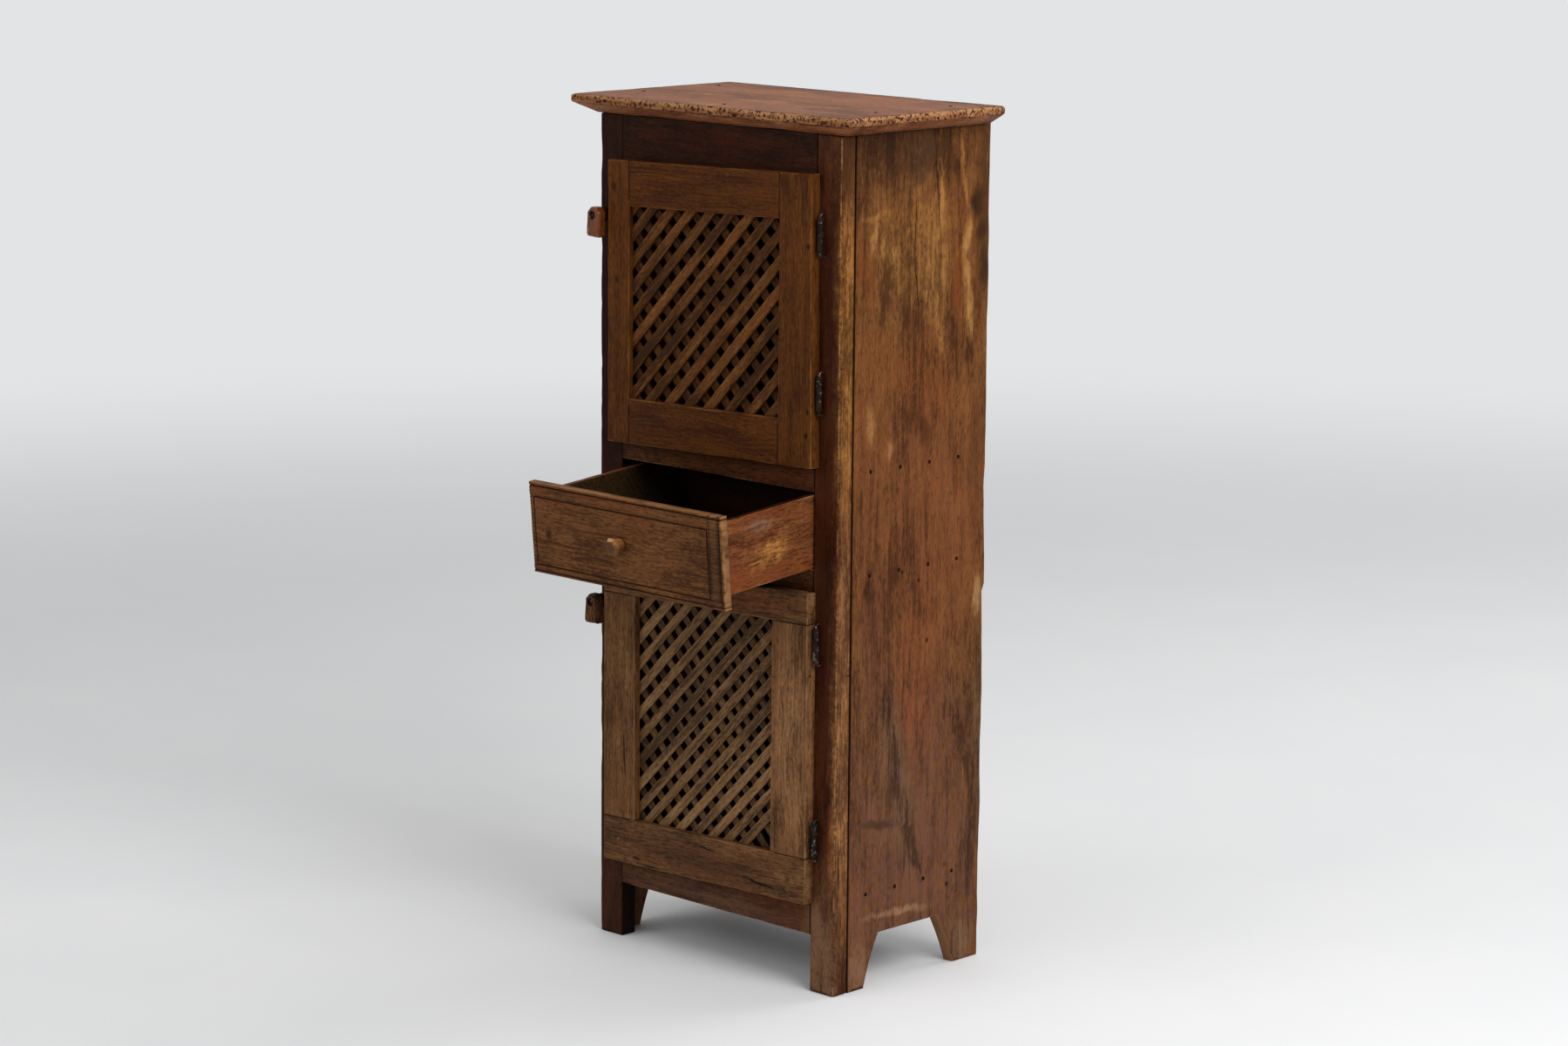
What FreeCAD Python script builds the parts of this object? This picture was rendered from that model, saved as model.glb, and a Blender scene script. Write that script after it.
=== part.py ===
import FreeCAD, Part
import math
import os
from FreeCAD import Rotation, Vector

# A small pie safe: two lattice doors with a drawer between them, in a nailed and tenoned case.
# X runs to the right, the front faces -Y, Z is up.
# The origin is on the floor, at the centre of the case's footprint. Millimetres and degrees.

# ---- Case -------------------------------------------------------------------------------------
BODY_WIDTH = 479.0
BODY_DEPTH = 308.0
STILE_WIDTH = 46.0
STILE_THICKNESS = 28.0
STILE_ROUNDING = 2.5
RAIL_THICKNESS = 24.0
SIDE_THICKNESS = 19.0
SEAM_WIDTH = 2.5
SEAM_DEPTH = 4.0

# Heights of the front frame, from the floor up.
FOOT_HEIGHT = 83.0
BOTTOM_RAIL_HEIGHT = 67.0
LOWER_OPENING_HEIGHT = 403.0
RAIL_BELOW_DRAWER_HEIGHT = 60.0
DRAWER_OPENING_HEIGHT = 110.0
RAIL_ABOVE_DRAWER_HEIGHT = 47.0
UPPER_OPENING_HEIGHT = 380.0
FRIEZE_HEIGHT = 73.5

TENON_LENGTH = 30.0
TENON_THICKNESS = 8.0
TENON_SHOULDER = 8.0
JOINT_GAP = 0.1

# How near a corner or an edge has to be to a plane to count as lying in it.
TOUCH = 0.1

# Foot cut-out of each side board.
ARCH_HEIGHT = 77.0
ARCH_FRONT_FOOT = 64.0
ARCH_REAR_FOOT = 53.0
ARCH_FRONT_CORNER_RUN = 30.0
ARCH_REAR_CORNER_RUN = 36.0
ARCH_CORNER_SAG = 2.5

# The rear edge of each side board keeps the wavy edge of the tree.
WANE_DEPTH = 3.0
WANE_WAVES = 3.3
WANE_POINTS = 12

# Top board
TOP_THICKNESS = 26.5
TOP_SIDE_OVERHANG = 37.0
TOP_FRONT_OVERHANG = 29.0
TOP_BACK_INSET = 9.0
TOP_EDGE_HEIGHT = 11.0
TOP_BEVEL_RUN = 28.0
TOP_EDGE_ROUNDING = 3.5

# Floors and back
FLOOR_THICKNESS = 16.0
FLOOR_HOUSING = 6.0
UPPER_FLOOR_STEP_DOWN = 9.0
BACK_THICKNESS = 12.0
BACK_INSET = 9.0
BACK_PLANKS = 3
BACK_PLANK_GAP = 1.2

# Wrought nails
NAIL_SHANK = 2.4
NAIL_LENGTH = 34.0
NAIL_HEAD = 5.0
NAIL_CROWN = 2.0
NAIL_HEAD_HEIGHT = 0.9
NAIL_UP_IN_FLOOR = 5.0
SIDE_NAILS = 4
SIDE_NAIL_MARGIN = 38.0

# ---- Doors ------------------------------------------------------------------------------------
DOOR_THICKNESS = 18.0
DOOR_GAP = 0.4
DOOR_TENON_LENGTH = 28.0
DOOR_TENON_THICKNESS = 6.0
DOOR_TENON_SHOULDER = 13.0
RABBET_WIDTH = 9.0
LATTICE_FIT = 0.3
SMALLEST_SLAT = 150.0
MOST_SLATS = 40
PEG_RADIUS = 4.2
PEG_SIDES = 8
PEG_PROUD = 0.6

# Upper door: its stiles run through, and it has dropped at the free side and spread at the hinges.
UPPER_DOOR_STRIP = 34.0
UPPER_DOOR_AXIS_INSET = 31.0
UPPER_DOOR_EDGE_GAP = 0.6
UPPER_DOOR_FLARE = 4.0
UPPER_DOOR_BELOW_OPENING = 21.0
UPPER_DOOR_ABOVE_OPENING = 9.0
UPPER_DOOR_RISE = 10.0
UPPER_DOOR_LEFT_STILE = 44.0
UPPER_DOOR_RIGHT_STILE = 61.0
UPPER_DOOR_LOW_RAIL = 66.0
UPPER_DOOR_HIGH_RAIL = 65.0
UPPER_DOOR_RECESS = 8.0
UPPER_HINGE_UP = 115.0
UPPER_HINGE_DOWN = 74.0

# Lower door: its rails run through.
LOWER_DOOR_STRIP = 26.0
LOWER_DOOR_AXIS_INSET = 32.0
LOWER_DOOR_EDGE_GAP = 3.6
LOWER_DOOR_FLARE = 0.0
LOWER_DOOR_BELOW_OPENING = 30.0
LOWER_DOOR_ABOVE_OPENING = 17.0
LOWER_DOOR_RISE = 11.5
LOWER_DOOR_LEFT_STILE = 65.0
LOWER_DOOR_RIGHT_STILE = 69.0
LOWER_DOOR_LOW_RAIL = 67.0
LOWER_DOOR_HIGH_RAIL = 45.0
LOWER_DOOR_RECESS = 11.0
LOWER_HINGE_UP = 105.0
LOWER_HINGE_DOWN = 62.0

# Slats: slope in degrees, the first one's offset, the pitch, how much each pitch grows, and the width.
UPPER_FRONT_SLATS = (45.7, -193.7, 28.64, -0.071, 14.6)
UPPER_BACK_SLATS = (-44.9, 1.1, 27.76, 0.017, 13.8)
LOWER_FRONT_SLATS = (45.1, -148.3, 21.61, 0.205, 13.8)
LOWER_BACK_SLATS = (-46.0, 4.2, 27.9, -0.22, 12.4)

# Rolled iron hinges: a wire staple in the case, a rolled leaf let into the door's edge.
BARREL_RADIUS = 4.35
BARREL_LENGTH = 50.0
BARREL_FORWARD = 8.4
LEAF_THICKNESS = 1.6
LEAF_DEPTH = 13.0
PIN_RADIUS = 1.6
PIN_RUNNING_GAP = 0.06
STAPLE_LENGTH = 60.0
STAPLE_BEND = 3.0
STAPLE_BITE = 14.0

# ---- Drawer -----------------------------------------------------------------------------------
# It sits to the right in its opening, its front sits further right still, and its left side is lower.
DRAWER_PULL = 171.0
DRAWER_SLOPE = 5.0
DRAWER_FRONT_THICKNESS = 14.0
DRAWER_LIP_SIDE = 5.0
DRAWER_LIP_ABOVE = 7.0
DRAWER_LIP_BELOW = 16.0
DRAWER_FRONT_ROUNDING = 2.5
DRAWER_SIDE_GAP = 5.5
DRAWER_SHIFT = 3.0
DRAWER_FRONT_SHIFT = 6.5
DRAWER_LEFT_SIDE_DROP = 7.0
DRAWER_TOP_GAP = 5.0
DRAWER_REAR_GAP = 6.0
DRAWER_BACK_HEIGHT = 80.0
DRAWER_NAIL_SHARES = (0.25, 0.75)
DRAWER_BOARD = 11.0
DRAWER_BOTTOM_BOARD = 7.0
DRAWER_BOTTOM_UP = 8.0
DRAWER_GROOVE = 5.0
DRAWER_DADO = 4.0
DRAWER_RUN_GAP = 0.3
DRAWER_CLOSE_GAP = 0.3

# Moulded band round the drawer front, wider above and at the right.
BAND_TOP = 21.0
BAND_RIGHT = 28.0
BAND_BOTTOM = 13.0
BAND_LEFT = 10.0
BAND_BEAD = 4.0
GROOVE_WIDTH = 2.6
GROOVE_DEPTH = 1.6

RUNNER_WIDTH = 42.0
RUNNER_DEPTH = 22.0
GUIDE_HEIGHT = 18.0
GUIDE_GAP = 1.5

KNOB_RADIUS = 14.6
KNOB_FACE_RADIUS = 10.4
KNOB_NECK_RADIUS = 10.8
KNOB_LENGTH = 21.5
KNOB_CHAMFER = 5.0
KNOB_SIDES = 9
KNOB_DOWEL_RADIUS = 5.0

# ---- Turn buttons -----------------------------------------------------------------------------
BUTTON_WIDTH = 25.0
BUTTON_NOSE = 32.0
BUTTON_TAIL = 12.0
BUTTON_THICKNESS = 15.0
BUTTON_BOSS_RADIUS = 10.5
BUTTON_GAP = 0.5
BUTTON_CHAMFER = 3.5
BUTTON_TAIL_CORNER = 7.0
BUTTON_SINK_RADIUS = 6.0
BUTTON_SINK_DEPTH = 5.0
BUTTON_PIN_RADIUS = 1.9
BUTTON_PIN_HEAD_RADIUS = 4.4
BUTTON_PIN_HEAD_HEIGHT = 2.0
BUTTON_PIN_HEAD_GAP = 0.3
BUTTON_PIN_BITE = 16.0
BUTTON_FACETS = 10
UPPER_BUTTON_DROP = 81.0
LOWER_BUTTON_DROP = 62.0

# ---- Places worked out from the sizes above ---------------------------------------------------
LEFT = -BODY_WIDTH / 2
RIGHT = BODY_WIDTH / 2
FRONT = -BODY_DEPTH / 2
BACK = BODY_DEPTH / 2

LOWER_OPENING_LOW = FOOT_HEIGHT + BOTTOM_RAIL_HEIGHT
LOWER_OPENING_HIGH = LOWER_OPENING_LOW + LOWER_OPENING_HEIGHT
DRAWER_OPENING_LOW = LOWER_OPENING_HIGH + RAIL_BELOW_DRAWER_HEIGHT
DRAWER_OPENING_HIGH = DRAWER_OPENING_LOW + DRAWER_OPENING_HEIGHT
UPPER_OPENING_LOW = DRAWER_OPENING_HIGH + RAIL_ABOVE_DRAWER_HEIGHT
UPPER_OPENING_HIGH = UPPER_OPENING_LOW + UPPER_OPENING_HEIGHT
CASE_TOP = UPPER_OPENING_HIGH + FRIEZE_HEIGHT

STILE_BACK = FRONT + STILE_THICKNESS
RAIL_BACK = FRONT + RAIL_THICKNESS
OPENING_HALF = BODY_WIDTH / 2 - STILE_WIDTH
INNER_HALF = BODY_WIDTH / 2 - SIDE_THICKNESS
BACK_BOARDS_REAR = BACK - BACK_INSET
BACK_BOARDS_FRONT = BACK_BOARDS_REAR - BACK_THICKNESS

LOWER_FLOOR_HIGH = LOWER_OPENING_LOW
UPPER_FLOOR_HIGH = UPPER_OPENING_LOW - UPPER_FLOOR_STEP_DOWN

DOOR_BACK = FRONT - DOOR_GAP
DOOR_FACE = DOOR_BACK - DOOR_THICKNESS
HINGE_Y = FRONT - BARREL_FORWARD

SLOPE_TANGENT = math.tan(math.radians(DRAWER_SLOPE))
DRAWER_BOX_HALF = OPENING_HALF - DRAWER_SIDE_GAP
DRAWER_BOX_HEIGHT = DRAWER_OPENING_HEIGHT - DRAWER_TOP_GAP
DRAWER_BOX_REAR = BACK_BOARDS_FRONT - DRAWER_REAR_GAP
DRAWER_FRONT_HALF = DRAWER_BOX_HALF + DRAWER_LIP_SIDE
DRAWER_FRONT_HEIGHT = DRAWER_LIP_BELOW + DRAWER_OPENING_HEIGHT + DRAWER_LIP_ABOVE


# ---- Building blocks --------------------------------------------------------------------------
def block(x_range, y_range, z_range):
    """A box between two limits on each axis."""
    size = [high - low for low, high in (x_range, y_range, z_range)]
    return Part.makeBox(*size, Vector(x_range[0], y_range[0], z_range[0]))


def closed_face(points):
    """A flat face inside a closed polygon."""
    return Part.Face(Part.makePolygon(points + points[:1]))


def plate_xz(outline, y_front, y_back):
    """A board whose outline is drawn looking at the front."""
    face = closed_face([Vector(x, y_front, z) for x, z in outline])
    return face.extrude(Vector(0, y_back - y_front, 0))


def plate_yz(outline, x_left, x_right):
    """A board whose outline is drawn looking from the side."""
    face = closed_face([Vector(x_left, y, z) for y, z in outline])
    return face.extrude(Vector(x_right - x_left, 0, 0))


def round_edges(shape, radius, chosen):
    """Round the straight edges that a test picks out."""
    edges = [edge for edge in shape.Edges if chosen(edge)]
    return shape.makeFillet(radius, edges) if edges else shape


def lies_along(edge, axis):
    """True if a straight edge runs along an axis, 0 for X, 1 for Y, 2 for Z."""
    first, last = (vertex.Point for vertex in edge.Vertexes)
    run = last - first
    return abs(run[axis]) > 0.9 * run.Length


def flat_sided(rings):
    """A solid between rings of corners, each ring joined to the next by flat faces."""
    faces = [closed_face(rings[0]), closed_face(rings[-1])]
    for lower, upper in zip(rings, rings[1:]):
        for k in range(len(lower)):
            nxt = (k + 1) % len(lower)
            faces.append(closed_face([lower[k], lower[nxt], upper[nxt], upper[k]]))
    return Part.Solid(Part.makeShell(faces))


def tapered_prism(sides, stations, axis_xz):
    """A whittled bar along Y at (x, z) = axis_xz: flat sides, with a radius at each station."""
    x, z = axis_xz
    rings = []
    for y, radius in stations:
        turns = [2 * math.pi * (k + 0.5) / sides for k in range(sides)]
        rings.append([Vector(x + radius * math.cos(turn), y, z + radius * math.sin(turn)) for turn in turns])
    return flat_sided(rings)


def rectangle(x_range, y_range, z):
    """Four corners at one height."""
    (x_low, x_high), (y_low, y_high) = x_range, y_range
    corners = ((x_low, y_low), (x_high, y_low), (x_high, y_high), (x_low, y_high))
    return [Vector(x, y, z) for x, y in corners]


def cylinder_y(x, z, radius, y_front, y_back):
    """A round bar or hole along Y."""
    return Part.makeCylinder(radius, y_back - y_front, Vector(x, y_front, z), Vector(0, 1, 0))


def nail(point, direction):
    """A wrought nail: a square shank driven along direction, with a low four-sided head left proud."""
    thick = (-NAIL_SHANK / 2, NAIL_SHANK / 2)
    wide = (-NAIL_HEAD / 2, NAIL_HEAD / 2)
    crown = (-NAIL_CROWN / 2, NAIL_CROWN / 2)
    head = flat_sided([rectangle(wide, wide, 0), rectangle(crown, crown, NAIL_HEAD_HEIGHT)])
    whole = block(thick, thick, (-NAIL_LENGTH, 0)).fuse(head).removeSplitter()
    whole.Placement = FreeCAD.Placement(point, Rotation(Vector(0, 0, -1), direction))
    return whole


pieces = {}


def drive(name, fasteners, targets):
    """Keep a group of fasteners as one node, and cut their holes in the pieces that they hold."""
    pieces[name] = fasteners
    tool = Part.makeCompound(fasteners)
    for target in targets:
        pieces[target] = [solid.cut(tool) for solid in pieces[target]]


# ---- Case -------------------------------------------------------------------------------------
def front_stile(x_outer, inward):
    """A corner post: it runs from the floor to the top board and carries the rails."""
    x_inner = x_outer + inward * STILE_WIDTH
    post = block(sorted((x_outer, x_inner)), (FRONT, STILE_BACK), (0, CASE_TOP))
    return round_edges(
        post,
        STILE_ROUNDING,
        lambda edge: lies_along(edge, 2) and abs(edge.Vertexes[0].Y - FRONT) < TOUCH,
    )


def rail_tenons(z_low, z_high, gap):
    """The tenons at both ends of a rail, or with a gap the mortises that take them."""
    middle = FRONT + RAIL_THICKNESS / 2
    reach = OPENING_HALF + TENON_LENGTH + gap
    thick = (middle - TENON_THICKNESS / 2 - gap, middle + TENON_THICKNESS / 2 + gap)
    return block((-reach, reach), thick, (z_low + TENON_SHOULDER - gap, z_high - TENON_SHOULDER + gap))


def rail(z_low, z_high):
    """A cross rail of the front frame, with its tenons."""
    body = block((-OPENING_HALF, OPENING_HALF), (FRONT, RAIL_BACK), (z_low, z_high))
    return body.fuse(rail_tenons(z_low, z_high, 0)).removeSplitter()


def wane_edge():
    """The wavy rear edge of a side board, from the floor to the top, as one smooth curve."""
    points = []
    for k in range(WANE_POINTS):
        share = k / (WANE_POINTS - 1)
        wave = math.sin(2 * math.pi * WANE_WAVES * share) * math.sin(math.pi * share)
        points.append(Vector(0, BACK + WANE_DEPTH * wave, CASE_TOP * share))
    curve = Part.BSplineCurve()
    curve.interpolate(points)
    return curve.toShape()


def foot_arch():
    """The cut-out between a side board's two feet: a flat head with a bowed corner at each end."""
    near, far = FRONT + ARCH_FRONT_FOOT, BACK - ARCH_REAR_FOOT
    head_near, head_far = near + ARCH_FRONT_CORNER_RUN, far - ARCH_REAR_CORNER_RUN

    def bowed(y_foot, y_head):
        middle = Vector(0, (y_foot + y_head) / 2, ARCH_HEIGHT / 2)
        across = Vector(0, -ARCH_HEIGHT, y_head - y_foot).normalize()
        if across.z < 0:
            across = -across
        bow = middle + across * ARCH_CORNER_SAG
        return Part.Arc(Vector(0, y_foot, 0), bow, Vector(0, y_head, ARCH_HEIGHT))

    below = -1.0
    edges = [
        bowed(near, head_near).toShape(),
        Part.makeLine(Vector(0, head_near, ARCH_HEIGHT), Vector(0, head_far, ARCH_HEIGHT)),
        bowed(far, head_far).toShape(),
        Part.makeLine(Vector(0, far, 0), Vector(0, far, below)),
        Part.makeLine(Vector(0, far, below), Vector(0, near, below)),
        Part.makeLine(Vector(0, near, below), Vector(0, near, 0)),
    ]
    return Part.Face(Part.Wire(Part.__sortEdges__(edges)))


def side_board(x_outer, inward):
    """A side of the case, one wide board from the stile to the rear, standing on two feet."""
    wane = wane_edge()
    foot_rear, head_rear = Vector(0, BACK, 0), Vector(0, BACK, CASE_TOP)
    foot_front, head_front = Vector(0, STILE_BACK, 0), Vector(0, STILE_BACK, CASE_TOP)
    outline = [
        Part.makeLine(foot_rear, foot_front),
        Part.makeLine(foot_front, head_front),
        Part.makeLine(head_front, head_rear),
        wane,
    ]
    board = Part.Face(Part.Wire(Part.__sortEdges__(outline))).cut(foot_arch())
    solid = board.extrude(Vector(inward * SIDE_THICKNESS, 0, 0))
    solid.translate(Vector(x_outer, 0, 0))
    seam = block(
        sorted((x_outer, x_outer + inward * SEAM_DEPTH)),
        (STILE_BACK, STILE_BACK + SEAM_WIDTH),
        (0, CASE_TOP),
    )
    return solid.cut(seam)


def top_board():
    """The top: a rounded edge, with a broad bevel under the front and both ends."""
    half = BODY_WIDTH / 2 + TOP_SIDE_OVERHANG
    near, far = FRONT - TOP_FRONT_OVERHANG, BACK - TOP_BACK_INSET
    high = CASE_TOP + TOP_THICKNESS
    bevel_top = high - TOP_EDGE_HEIGHT
    slab = block((-half, half), (near, far), (bevel_top, high))
    inner, set_back = half - TOP_BEVEL_RUN, near + TOP_BEVEL_RUN
    wide = rectangle((-half, half), (near, far), bevel_top)
    narrow = rectangle((-inner, inner), (set_back, far), CASE_TOP)
    board = slab.fuse(flat_sided([narrow, wide])).removeSplitter()

    def on_rim(edge):
        middle = edge.CenterOfMass
        outside = abs(middle.y - near) < TOUCH or abs(abs(middle.x) - half) < TOUCH
        return outside and abs(middle.z - high) < TOUCH

    return round_edges(board, TOP_EDGE_ROUNDING, on_rim)


def compartment_floor(z_high, gap):
    """A floor board: notched round the stiles, housed in both side boards, with a gap its housing."""
    z_range = (z_high - FLOOR_THICKNESS - gap, z_high + gap)
    wide = INNER_HALF + FLOOR_HOUSING + gap
    behind_rail = block((-OPENING_HALF, OPENING_HALF), (RAIL_BACK, STILE_BACK), z_range)
    behind_stiles = block((-wide, wide), (STILE_BACK, BACK_BOARDS_FRONT), z_range)
    return behind_rail.fuse(behind_stiles).removeSplitter()


def build_case():
    """The front frame, the sides, the top, the floors and the back."""
    rails = {
        "bottom_rail": (FOOT_HEIGHT, LOWER_OPENING_LOW),
        "rail_below_drawer": (LOWER_OPENING_HIGH, DRAWER_OPENING_LOW),
        "rail_above_drawer": (DRAWER_OPENING_HIGH, UPPER_OPENING_LOW),
        "frieze_rail": (UPPER_OPENING_HIGH, CASE_TOP),
    }
    stiles = {"front_stile_left": front_stile(LEFT, 1), "front_stile_right": front_stile(RIGHT, -1)}
    for name, (z_low, z_high) in rails.items():
        pieces[name] = [rail(z_low, z_high)]
        mortises = rail_tenons(z_low, z_high, JOINT_GAP)
        stiles = {stile: post.cut(mortises) for stile, post in stiles.items()}
    for stile, post in stiles.items():
        pieces[stile] = [post]

    floors = {"lower_floor": LOWER_FLOOR_HIGH, "upper_floor": UPPER_FLOOR_HIGH}
    sides = {"side_board_left": side_board(LEFT, 1), "side_board_right": side_board(RIGHT, -1)}
    for name, z_high in floors.items():
        pieces[name] = [compartment_floor(z_high, 0)]
        housing = compartment_floor(z_high, JOINT_GAP)
        sides = {side: board.cut(housing) for side, board in sides.items()}
    for side, board in sides.items():
        pieces[side] = [board]
    pieces["top_board"] = [top_board()]

    pitch = (2 * INNER_HALF + BACK_PLANK_GAP) / BACK_PLANKS
    for k in range(BACK_PLANKS):
        x_left = -INNER_HALF + k * pitch
        plank = block(
            (x_left, x_left + pitch - BACK_PLANK_GAP),
            (BACK_BOARDS_FRONT, BACK_BOARDS_REAR),
            (FOOT_HEIGHT, CASE_TOP),
        )
        pieces[f"back_plank_{k + 1}"] = [plank]


def runner_top(y):
    """Height of the runners' upper face, which falls towards the front."""
    return DRAWER_OPENING_LOW + (y - FRONT) * SLOPE_TANGENT


def build_runners():
    """The strips that carry and guide the drawer, packed up towards the back."""
    near, far = STILE_BACK, BACK_BOARDS_FRONT
    under = DRAWER_OPENING_LOW - RUNNER_DEPTH
    bed = [(near, under), (far, under), (far, runner_top(far)), (near, runner_top(near))]
    fence = [
        (near, runner_top(near)),
        (far, runner_top(far)),
        (far, runner_top(far) + GUIDE_HEIGHT),
        (near, runner_top(near) + GUIDE_HEIGHT),
    ]
    pieces["drawer_runners"] = []
    pieces["drawer_guides"] = []
    for side in (-1, 1):
        wall = side * INNER_HALF
        fence_inner = DRAWER_SHIFT + side * (DRAWER_BOX_HALF + GUIDE_GAP)
        pieces["drawer_runners"].append(plate_yz(bed, *sorted((wall, wall - side * RUNNER_WIDTH))))
        pieces["drawer_guides"].append(plate_yz(fence, *sorted((wall, fence_inner))))


def drive_case_nails():
    """Nails through the sides, the top and the back planks into what is behind them."""
    in_lower = LOWER_FLOOR_HIGH - FLOOR_THICKNESS + NAIL_UP_IN_FLOOR
    in_upper = UPPER_FLOOR_HIGH - FLOOR_THICKNESS + NAIL_UP_IN_FLOOR
    runner_mid = DRAWER_OPENING_LOW - RUNNER_DEPTH / 2
    first = STILE_BACK + SIDE_NAIL_MARGIN
    pitch = (BACK_BOARDS_FRONT - SIDE_NAIL_MARGIN - first) / (SIDE_NAILS - 1)
    side_nails = []
    for side in (-1, 1):
        for z in (in_lower, runner_mid, in_upper):
            for k in range(SIDE_NAILS):
                place = Vector(side * BODY_WIDTH / 2, first + k * pitch, z)
                side_nails.append(nail(place, Vector(-side, 0, 0)))
    held = ["side_board_left", "side_board_right", "lower_floor", "drawer_runners", "upper_floor"]
    drive("side_nails", side_nails, held)

    top = CASE_TOP + TOP_THICKNESS
    over_side = BODY_WIDTH / 2 - SIDE_THICKNESS / 2
    down = Vector(0, 0, -1)
    ends = [(side * over_side, y) for side in (-1, 1) for y in (FRONT / 2, BACK / 2)]
    top_nails = [nail(Vector(x, y, top), down) for x, y in ends]
    top_nails.append(nail(Vector(0, FRONT + RAIL_THICKNESS / 2, top), down))
    drive("top_nails", top_nails, ["top_board", "side_board_left", "side_board_right", "frieze_rail"])

    pitch = (2 * INNER_HALF + BACK_PLANK_GAP) / BACK_PLANKS
    forward = Vector(0, -1, 0)
    back_nails = []
    for k in range(BACK_PLANKS):
        middle = -INNER_HALF + (k + 0.5) * pitch
        for x in (middle - pitch / 4, middle + pitch / 4):
            for z in (in_lower, in_upper):
                back_nails.append(nail(Vector(x, BACK_BOARDS_REAR, z), forward))
    planks = [f"back_plank_{k + 1}" for k in range(BACK_PLANKS)]
    drive("back_nails", back_nails, planks + ["lower_floor", "upper_floor"])


# ---- Doors ------------------------------------------------------------------------------------
class Lattice:
    """One layer of parallel slats: their slope, the first one's offset, the pitch and its growth."""

    def __init__(self, slope, start, pitch, growth, width):
        self.slope = slope
        self.start = start
        self.pitch = pitch
        self.growth = growth
        self.width = width

    def offsets(self, limit):
        """Distances of the slats from the opening's lower left corner, square to them, up to a limit."""
        found = []
        k = 0
        while self.start + self.pitch * k + self.growth * k * k < limit and k < MOST_SLATS:
            found.append(self.start + self.pitch * k + self.growth * k * k)
            k += 1
        return found


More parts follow.
